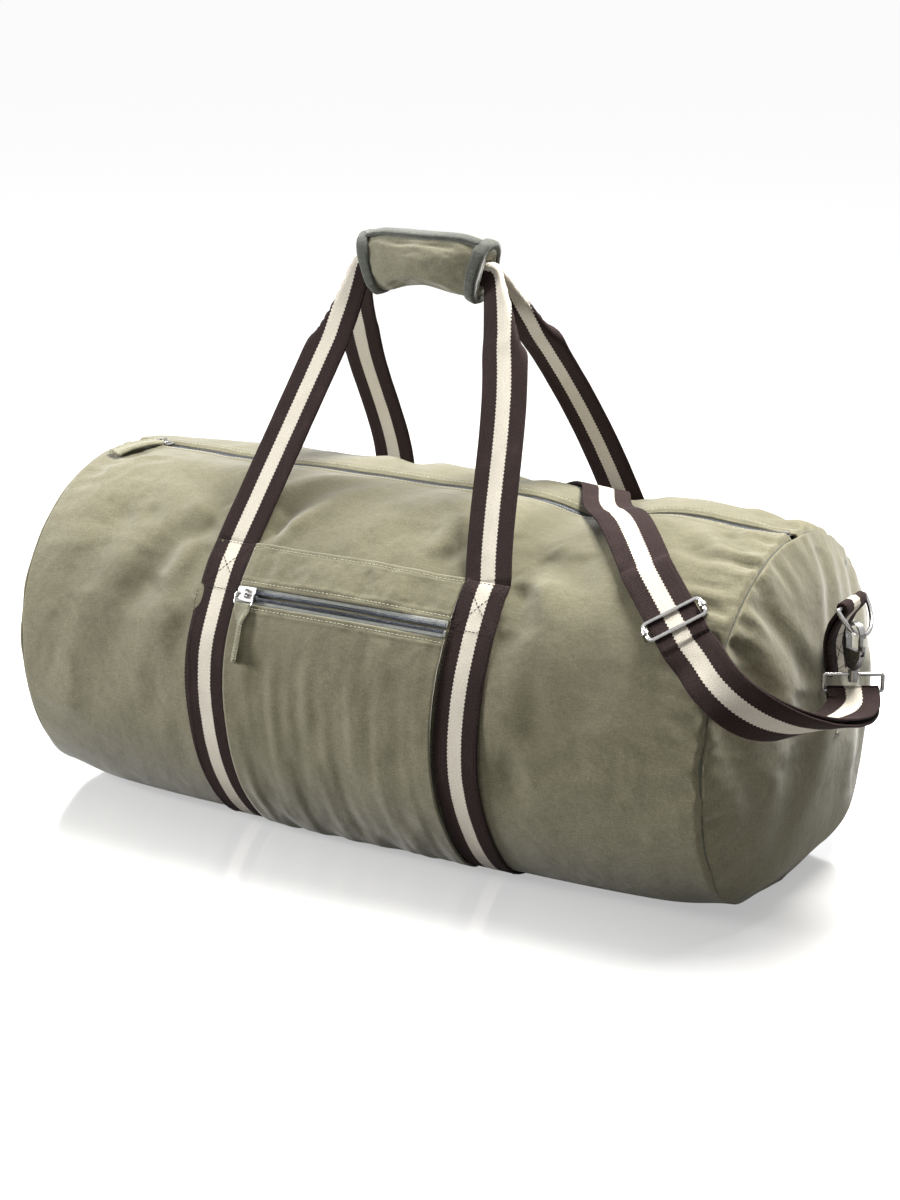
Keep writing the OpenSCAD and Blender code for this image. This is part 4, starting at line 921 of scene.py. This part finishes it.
# Cloth pullers: a doubled strip of twill through the bail, sewn along its edges, frayed at its end
def cloth_puller(name, hinge, aside, up, tilt, length, body, node, yaw, curl, twist, fray):
    # aside, up: directions across and out of the zip, by which its bail leans over at tilt degrees
    # yaw, curl, twist: how the strip turns aside, bends up and winds by its end, in degrees
    wide, thick, bail_l = 12.4, 2.4, 8.0
    lean = radians(tilt)
    along, out = up * sin(lean) - aside * cos(lean), up * cos(lean) + aside * sin(lean)
    across = unit(np.cross(along, out))
    n = 34
    v = np.linspace(0, 1, n)
    s = v * length
    turn, lift = (radians(yaw) * ramp(v / 0.35))[:, None], (radians(curl) * v)[:, None]
    d = unit(along * (np.cos(turn) * np.cos(lift)) + across * np.sin(turn) + out * np.sin(lift))
    start = hinge + along * bail_l
    path = start + np.vstack([[0, 0, 0], np.cumsum(d[:-1] * np.diff(s)[:, None], axis=0)])
    side = unit(across - np.sum(across * d, 1, keepdims=True) * d)
    up = unit(np.cross(side, d))
    if np.dot(up[0], out) < 0:
        up = -up
    spin = (np.radians(twist) * ramp(v / 0.4))[:, None]
    side, up = side * np.cos(spin) + up * np.sin(spin), up * np.cos(spin) - side * np.sin(spin)
    loops, s_real = web_loops(n, wide, thick, cells=12)
    # The two layers open a little round the wire, and fray at the far end
    grow = 1 + 0.25 * bell(s / 3)
    worn = ramp((v - 0.93) / 0.07) * fray
    spread_out = joined(1 - 0.05 * noise(v * 5 + 2) + 0.04 * worn, grow + 0.25 * worn)
    loops = loops * spread_out[:, None, :]
    loops = loops + (worn[:, None] * 0.9 * noise(s_real * 1.9, 0.4))[..., None] * vec(0.25, 0.5)
    dent = np.where(np.abs(np.abs(s_real) - 4.2) < 0.7, 0.16, 0) * (1 - worn[:, None])
    loops[..., 1] -= np.sign(loops[..., 1]) * dent
    uv = joined(s_real, s[:, None], 0.0)
    put(swept(name, path, side, up, loops, uv), PULL_CLOTH, node, body)
    # Loop of cloth round the wire
    ph = np.linspace(-pi / 2, -3 * pi / 2, 9)
    ring_p = start + along * (1.15 * np.cos(ph))[:, None] + out * (1.15 * np.sin(ph))[:, None]
    loops, s_real = web_loops(9, wide, 0.7, cells=12)
    ring_side = np.broadcast_to(across, ring_p.shape)
    ring_up = unit(np.cross(headings(ring_p), ring_side))
    uv = joined(s_real, lengths(ring_p)[:, None], 0.0)
    ring = swept(name + "_loop", ring_p, ring_side, ring_up, loops, uv)
    put(ring, PULL_CLOTH, body=body)
    keep = (s > 2) & (s < length - 3)
    rows = [((path + side * off + up * (thick / 2 * 1.02))[keep], up[keep])
        for off in (-3.1, -4.9, 3.1, 4.9)]
    stitches(name + "_sewing", rows, THREAD, thread=0.24, pitch=2.2, body=body)
    # Loose threads at its end
    draw = np.random.default_rng(len(name)).uniform
    pts, quads, count = [], [], 0
    for i in range(54):
        o = path[-1] + side[-1] * draw(-5.6, 5.6) + up[-1] * draw(-1.1, 1.1)
        go = unit(d[-1] + side[-1] * draw(-0.5, 0.5) + up[-1] * draw(-0.35, 0.5))
        far = draw(0.9, 2.6) * fray
        end = o + go * far + up[-1] * draw(-0.3, 0.3)
        P, q = round_bar(smooth([o - d[-1] * 0.5, o + go * far * 0.5, end], 2), 0.12, 4)
        pts.append(P)
        quads.append(q + count)
        count += len(P)
    put(make(name + "_fray", np.vstack(pts), np.vstack(quads)), THREAD, body=body)


SLIDER_X, HINGE_H = -236.0, 5.0
cloth_puller("main_puller_tab", vec(SLIDER_X, 0, TAPE_TOP + HINGE_H), vec(0, 1, 0), vec(0, 0, 1),
    tilt=7, length=37.0, body="main_pull", node="main_zip_puller", yaw=24, curl=-24, twist=0,
    fray=1.0)


# Pocket on the front
POCKET_HALF, POCKET_T = BAND_X - WEB_W / 2 - SEAT, 1.5
POCKET_TOP, ZIP_A, POCKET_END = 46.0, 61.3, 150.0
MOUTH_A = degrees((5.5 + SEAT) / BAG_R)


def pocket_off(a):
    turn = np.radians(180 * (a - POCKET_TOP) / (POCKET_END - POCKET_TOP))
    return SEAT + 3.4 * np.sqrt(np.maximum(np.sin(turn), 0))


# Both sheets: from and to which angle, and how much of a hem at each
STRIP, CLOTH = (POCKET_TOP, ZIP_A - MOUTH_A, 0.5, 1), (ZIP_A + MOUTH_A, POCKET_END, 1, 0)
ROWS = {STRIP: (3.2 / ARC, (STRIP[1] - STRIP[0]) - 3.0 / ARC), CLOTH: (3.0 / ARC,)}


def pocket_face(X, A, piece):
    # Outer face of the strip above the mouth or of the cloth below it, pressed in along the sewing
    lo, hi, hem_lo, hem_hi = piece
    low, high = (A - lo) * ARC, (hi - A) * ARC
    inside = ramp(np.minimum(low, high) / 7) * ramp((POCKET_HALF - np.abs(X)) / 12)
    rip = 1.0 * noise(X / 13 + 3, A / 9) * inside + 0.7 * noise(X / 7 + 6, A / 30) * inside
    rip = rip + 0.35 * noise(X / 3.4 + 1, A / 2.2) * inside * (hi < 90)
    hem = 0.3 * hem_lo * (1 - ramp((low - 5.5) / 1.5))
    hem = hem + 0.3 * hem_hi * (1 - ramp((high - 5.5) / 1.5))
    for row in ROWS[piece]:
        hem = hem - 0.5 * bell((A - lo - row) * ARC / 1.0)
    roll = 0.5 * (bell(low / 0.6) + bell(high / 0.6))
    P = on_skin(X, A, pocket_off(A) + POCKET_T) + outward(A) * (rip + hem - roll)[..., None]
    P[..., 2] = np.maximum(P[..., 2], 0.35 + POCKET_T)
    return P, rip


def pocket_sheet(name, piece, node):
    lo, hi = piece[:2]
    a = stations(lo, hi, 0.8, [(lo, 4), (hi, 4)], 0.3)
    x = np.linspace(-POCKET_HALF, POCKET_HALF, 110)
    X, A = np.meshgrid(x, a, indexing="ij")
    P, rip = pocket_face(X, A, piece)
    ob = shell(name, P, POCKET_T, joined(A * ARC, X, 0.0), rip * 1.5 + puff(X, A) * 0.6, flip=True)
    put(ob, CANVAS, node)


pocket_sheet("pocket_strip", STRIP, "pocket_top_strip")
pocket_sheet("pocket_cloth", CLOTH, "pocket_panel")

PZ_N = float(pocket_off(np.array(ZIP_A))) + POCKET_T - 0.4
pz_o = on_skin(0.0, ZIP_A, PZ_N, slack=False)
pz_up, pz_side = outward(ZIP_A), vec(0, cos(radians(ZIP_A)), sin(radians(ZIP_A)))


def pocket_place(x, y, up):
    x, y, up = spread(x, y, up)
    return pz_o + x[..., None] * vec(1, 0, 0) + y[..., None] * pz_side + up[..., None] * pz_up


zip_halves("pocket", "pocket_zip", ((1, "upper"), (-1, "lower")),
    x=np.linspace(-POCKET_HALF, POCKET_HALF, 60), reach=5.5, coil_from=-POCKET_HALF + 0.4,
    coil_to=POCKET_HALF - 0.4, place=pocket_place, pitch=1.3)

cloth_puller("pocket_puller_tab", pz_o + vec(-72.2, 0, 0) + pz_up * HINGE_H, pz_side, pz_up,
    tilt=-8, length=38.0, body="pocket_pull", node="pocket_zip_puller", yaw=-3, curl=5, twist=-52,
    fray=0.35)


# Tabs of the rings
RING_X, RING_Y, RING_Z = 304.0, 2.5, 197.9
TURN_R, TAB_H = 1.5 + SEAT + WEB_T / 2, 46.0


def ring_tab(side):
    low = RING_Z - TAB_H
    shares = np.array([0, 0.1, 0.2, 0.3, 0.43, 0.56, 0.67, 0.78])

    def at(share, layer):
        z = low + TAB_H * share
        go = ramp((share - 0.3) / 0.8)
        near = vec(dome_x(RING_Y, z) + 0.3 + SEAT + WEB_T / 2 + layer * (WEB_T + SEAT), RING_Y, z)
        far = vec(RING_X + (-TURN_R if layer == 0 else TURN_R), RING_Y, z)
        return mixed(near, far, go)

    ang = np.radians(np.linspace(0, 180, 11))
    turn = joined(RING_X - TURN_R * np.cos(ang), RING_Y, RING_Z + TURN_R * np.sin(ang))
    path = np.vstack([[at(s, 0) for s in shares], [turn[0] - vec(0, 0, TURN_R)], turn,
        [turn[-1] - vec(0, 0, TURN_R)], [at(s, 1) for s in shares[::-1]]])
    sides = vec(0, 1, 0)
    if side < 0:
        path, sides = half_turn(path), half_turn(sides)
    name = SIDE_NAME[side]
    webbing("tab_" + name, "ring_tab_" + name, path, sides, wave=0.1)

    # Box of stitches with a cross, low on the tab
    def spot(w, h):
        q = at(h / TAB_H, 1) + vec(WEB_T / 2 + 0.1, 0, 0)
        q[1] += w
        return q if side > 0 else half_turn(q)

    rows = [([spot(w, h) for w, h in zip(*line)], vec(side, 0, 0))
        for line in crossed_box(half=13.5, lo=2.5, hi=24, n=12)]
    stitches("tab_sewing_" + name, rows, THREAD_DARK, thread=0.25)


for end in (1, -1):
    ring_tab(end)

# Shoulder strap: heights over the bag of its two runs, the adjuster's bar and the pass over it,
# then the adjuster's place and its directions out of the bag, along the strap and across it
LIE, OUTER, BAR, PASS = 1.3, 3.6, 2.55, 6.1
S_X, S_A, S_TURN = 0.838 * HALF_L, 44.4, radians(44)
fall = float(skin_r(S_X - 15, S_A, False) - skin_r(S_X + 15, S_A, False)) / 30
S_N = unit(outward(S_A) + vec(fall, 0, 0))
way = vec(sin(S_TURN), -cos(S_TURN) * cos(radians(S_A)), -cos(S_TURN) * sin(radians(S_A)))
S_T = unit(way - np.dot(way, S_N) * S_N)
S_W = np.cross(S_N, S_T)
SLIDE_HALF, RETURN_S = 25.35, 27.6


def on_slide(s, off):
    return on_skin(S_X, S_A, off, False, slack=False) + S_T * s


# Bar of the right clip's loop, and its directions
loop_bar = vec(312.685, -11, 144.156)
yaw, rise = radians(31), radians(34)
loop_side = vec(cos(yaw), sin(yaw), 0)
loop_in = vec(-sin(yaw) * cos(rise), cos(yaw) * cos(rise), sin(rise))
loop_under = np.cross(loop_in, loop_side)
WRAP_R = 1.3 + SEAT + 1.0
# Where the strap leaves the bag, where it bends off the adjuster, its straight end at a loop
LEAVE, LEAVE_A, BEND_S, LEAD = 0.96, 57.5, 32.6, 8
RUN = np.arange(15)


def strap_run(start, go, bar, inn, side_from, side_to, under):
    # Line, sides and faces of the strap where it hangs between the bag and a loop's bar
    t = np.linspace(0, 1, 14)[:, None]
    p = [start, start + go * 75, bar - inn * 30, bar - inn * LEAD]
    line = (1 - t) ** 3 * p[0] + 3 * t * (1 - t) ** 2 * p[1]
    line = line + 3 * t * t * (1 - t) * p[2] + t ** 3 * p[3]
    line = np.vstack([line, line[-1] + inn * LEAD])
    sides = unit(mixed(side_from, side_to, np.minimum(1, RUN[:, None] / 11)))
    ahead = unit(line[np.minimum(RUN + 1, 14)] - line[np.maximum(RUN - 1, 0)])
    faces = unit(np.cross(ahead, sides))
    faces[-1] = under
    return line, sides, faces


def bar_turn(bar, under, inn):
    a = pi * np.arange(1, 6)[:, None] / 6
    return bar + (under * np.cos(a) + inn * np.sin(a)) * WRAP_R


leave = on_skin(LEAVE * HALF_L, LEAVE_A, (LIE + OUTER) / 2 + 0.8, False, slack=False)
r_base, r_turn, r_face = strap_run(leave, S_T, loop_bar, loop_in,
    unit(np.cross(outward(LEAVE_A), S_T)), loop_side, loop_under)
r_gap = mixed((OUTER - LIE + SEAT) / 2, WRAP_R, ramp(RUN / 14))[:, None]
r_path = np.vstack([on_slide(SLIDE_HALF, PASS), on_slide(BEND_S, OUTER + SEAT),
    r_base + r_face * r_gap, bar_turn(loop_bar, loop_under, loop_in)])
r_sides = np.vstack([S_W, S_W, r_turn, np.repeat(loop_side[None], 5, 0)])

dip = radians(14)
l_from = on_skin(-LEAVE * HALF_L, -90.0, LIE + 0.8, slack=False)
l_bar, l_in, l_under, l_side = map(half_turn, (loop_bar, loop_in, loop_under, loop_side))
l_base, l_turn, l_face = strap_run(l_from, vec(-cos(dip), 0, -sin(dip)), l_bar, l_in,
    vec(0, 0, 1), l_side, l_under)
l_gap = WRAP_R * ramp(RUN / 14)
f_gap = l_gap - mixed(2.9, 2 * WRAP_R, np.maximum(0, RUN - 10) / 4)
l_main, l_flap = l_base + l_face * l_gap[:, None], l_base + l_face * f_gap[:, None]
l_path = np.vstack([l_flap[10:], bar_turn(l_bar, l_under, l_in)[::-1], l_main[14:0:-1]])
l_sides = -np.vstack([l_turn[10:], np.repeat(l_side[None], 5, 0), l_turn[14:0:-1]])

slide_start = on_slide(-SLIDE_HALF, PASS)
# Share of the half length and angle from the top where the strap lies on the bag
lie = np.array([[-LEAVE, -90], [-0.8, -93], [-0.6, -94], [-0.4, -90], [-0.2, -79], [0, -62],
    [0.2, -43], [0.375, -23], [0.475, -4], [0.56, 9], [0.645, 20.4],
    [slide_start[0] / HALF_L, degrees(atan2(-slide_start[1], slide_start[2] - BAG_Z))]])
mx, ma = smooth(lie, 5).T
mx = mx * HALF_L
to_end = np.arange(len(mx)) - (len(mx) - 1)
# It climbs over the band, over the zip and up to the adjuster
lift = 2.3 * (1 - ramp((np.abs(mx + BAND_X) - 16.5) / 16.5 - 0.25)) + 2.2 * bell(ma / 20)
climb = 4.8 * ramp(to_end / 10 + 1)
follow = 1 - ramp(to_end / 5 + 1)
flat_skin = on_skin(mx, ma, LIE + lift + climb, slack=False)


def around(values, reach, pick):
    i = np.arange(len(values))
    return pick([np.interp(i + k, i, values) for k in range(-reach, reach + 1)], axis=0)


# The webbing spans the small hollows
stand = around(around(puff(mx, ma), 2, np.max), 3, np.mean)
over = flat_skin + outward(ma) * (stand * follow)[:, None]
over[-1] = slide_start
o_sides = unit(np.cross(outward(ma), headings(over)))
o_sides[-1] = S_W
strap, strap_len = webbing("strap_webbing", "shoulder_strap", np.vstack([l_path, over, r_path]),
    np.vstack([l_sides, o_sides, r_sides]), steps=4, wave=0.18)

back_path = np.vstack([on_slide(RETURN_S, LIE), on_slide(BEND_S, LIE), r_base - r_face * r_gap])
strap_back, back_len = webbing("strap_webbing_return", "strap_return", back_path,
    np.vstack([S_W, S_W, r_turn]), steps=4, wave=0.1)

# Sewn end of the strap round the adjuster's bar
o = on_slide(15.0, 0)
ang = np.radians(np.linspace(-90, -270, 9))
loop_sn = np.vstack([[12, 1.3], [9, 1.3], [6, 1.3], [3, 1.2], [0.8, 0.85],
    joined(1.85 * np.cos(ang), BAR + 1.85 * np.sin(ang)), [1.2, 4.2], [3.2, 3.6]])
end_path = o + loop_sn[:, :1] * S_T + loop_sn[:, 1:] * S_N
end_thick = np.concatenate([[2.0, 2.0, 2.0, 1.7, 1.1], np.full(9, 0.8), [0.8, 0.8]])
webbing("strap_end", "strap_end_loop", end_path, S_W, end_thick, wave=0.05, start=200,
    body="adjuster")

# Sewing on the bag
rows = []
for sign in (1, -1):
    x = np.linspace(-262, 262, 200)
    a = np.full_like(x, sign * (GAP_A + ZIP_SEWN / ARC))
    rows.append((barrel(x, a + (0 if sign > 0 else 360)), outward(a)))
stitches("zip_sewing", rows, THREAD, thread=0.32, pitch=3.1)
rows = []
x = np.linspace(-POCKET_HALF + 0.6, POCKET_HALF - 0.6, 70)
for piece in (STRIP, CLOTH):
    for row in ROWS[piece]:
        a = np.full_like(x, piece[0] + row)
        rows.append((pocket_face(x, a, piece)[0] + outward(a) * 0.12, outward(a)))
stitches("pocket_sewing", rows, THREAD, thread=0.34, pitch=3.1)
# Along the edges of the bands, and a box with a cross below each handle
rows = []
for side in (1, -1):
    for w in (-14.6, 14.6):
        for a in (np.linspace(62, 140, 80), np.linspace(220, 300, 80)):
            rows.append((on_skin(side * BAND_X + w, a, BAND_OFF + 1.0), outward(a)))
    for lo, hi in ((46.9, 60.6), (299.4, 313.1)):
        for w, a in crossed_box(half=14.2, lo=lo, hi=hi, n=20):
            line = on_skin(side * BAND_X + 0 * w, a, BAND_OFF + 1.03)
            line[:, 0] += w
            rows.append((line, outward(a)))
stitches("band_sewing", rows, THREAD_DARK, thread=0.24, pitch=2.8)

# Metal parts keep their modelled shapes
for node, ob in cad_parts.items():
    if ob.hide_render:
        continue
    look = NICKEL_DARK if node.startswith(("clip_hook", "clip_gate", "clip_loop")) else NICKEL
    ob.data.materials.clear()
    ob.data.materials.append(look)

# Floor
floor_m = bpy.data.materials.new("floor")
floor_m.use_nodes = True
ft = floor_m.node_tree
ft.nodes.clear()
diffuse = add(ft, "ShaderNodeBsdfDiffuse", {"Color": (0.5, 0.5, 0.5, 1)})
gloss = add(ft, "ShaderNodeBsdfGlossy", {"Color": (1, 1, 1, 1), "Roughness": 0.13})
glow = add(ft, "ShaderNodeEmission", {"Color": (1, 1, 1, 1), "Strength": 0.86})
rays = add(ft, "ShaderNodeLightPath")
lit = add(ft, "ShaderNodeAddShader", {0: diffuse.outputs[0], 1: glow.outputs[0]})
# The shine is strongest beside the bag and gone a little way from it
spot = add(ft, "ShaderNodeSeparateXYZ", {0: position(ft)})
far_x, far_y = (calc(ft, "MAXIMUM", calc(ft, "SUBTRACT", calc(ft, "ABSOLUTE", off), reach), 0.0)
    for off, reach in ((spot.outputs[0], 0.26), (spot.outputs[1], 0.08)))
away = calc(ft, "SQRT", total(ft, far_x, far_x, far_y, far_y))
shine = mapped(ft, away, 0.0, 0.30, 0.50, 0.0)
seen = add(ft, "ShaderNodeMixShader", {0: shine, 1: lit.outputs[0], 2: gloss.outputs[0]})
plain = add(ft, "ShaderNodeBsdfDiffuse", {"Color": (0.3, 0.3, 0.3, 1)})
which = add(ft, "ShaderNodeMixShader",
    {0: rays.outputs["Is Camera Ray"], 1: plain.outputs[0], 2: seen.outputs[0]})
add(ft, "ShaderNodeOutputMaterial", {"Surface": which.outputs[0]})
ring = vec(0.001, 300, 700, 1500, 4000, 12000, 60000)[:, None]
ta = np.radians(np.arange(64) * 360 / 64)
P = joined(ring * np.cos(ta), ring * np.sin(ta), 0.0)
floor = make("floor", P, grid_faces(7, 64, closed=True))
floor.data.materials.append(floor_m)

# Light
world = bpy.data.worlds.new("room")
scene.world = world
world.use_nodes = True
wt = world.node_tree
sky = wt.nodes["Background"]
sky.inputs["Color"].default_value = (1, 1, 1, 1)
way_in = add(wt, "ShaderNodeLightPath").outputs
white = calc(wt, "MAXIMUM", way_in["Is Glossy Ray"], way_in["Is Transmission Ray"])
white = calc(wt, "MAXIMUM", white, way_in["Is Camera Ray"])
wt.links.new(calc(wt, "MULTIPLY_ADD", white, 0.79, 0.21), sky.inputs["Strength"])


def lamp(name, at, to, size, power, tone=(1, 1, 1)):
    data = bpy.data.lights.new(name, "AREA")
    data.shape, data.size, data.size_y = "RECTANGLE", size[0], size[1]
    data.energy, data.color = power, tone
    ob = bpy.data.objects.new(name, data)
    scene.collection.objects.link(ob)
    ob.location = at
    ob.rotation_euler = (Vector(to) - Vector(at)).to_track_quat("-Z", "Y").to_euler()


lamp("lamp_top", at=(0.37, 0.30, 1.32), to=(0.08, 0.0, 0.18), size=(0.6, 0.45), power=51,
    tone=(1.0, 0.985, 0.95))
lamp("lamp_left", at=(-1.30, -0.90, 0.66), to=(-0.22, 0, 0.17), size=(0.5, 0.5), power=33)
lamp("lamp_front", at=(-0.5, -2.3, 1.4), to=(0.0, 0, 0.15), size=(1.0, 0.7), power=6)

scene.view_settings.view_transform = "Standard"
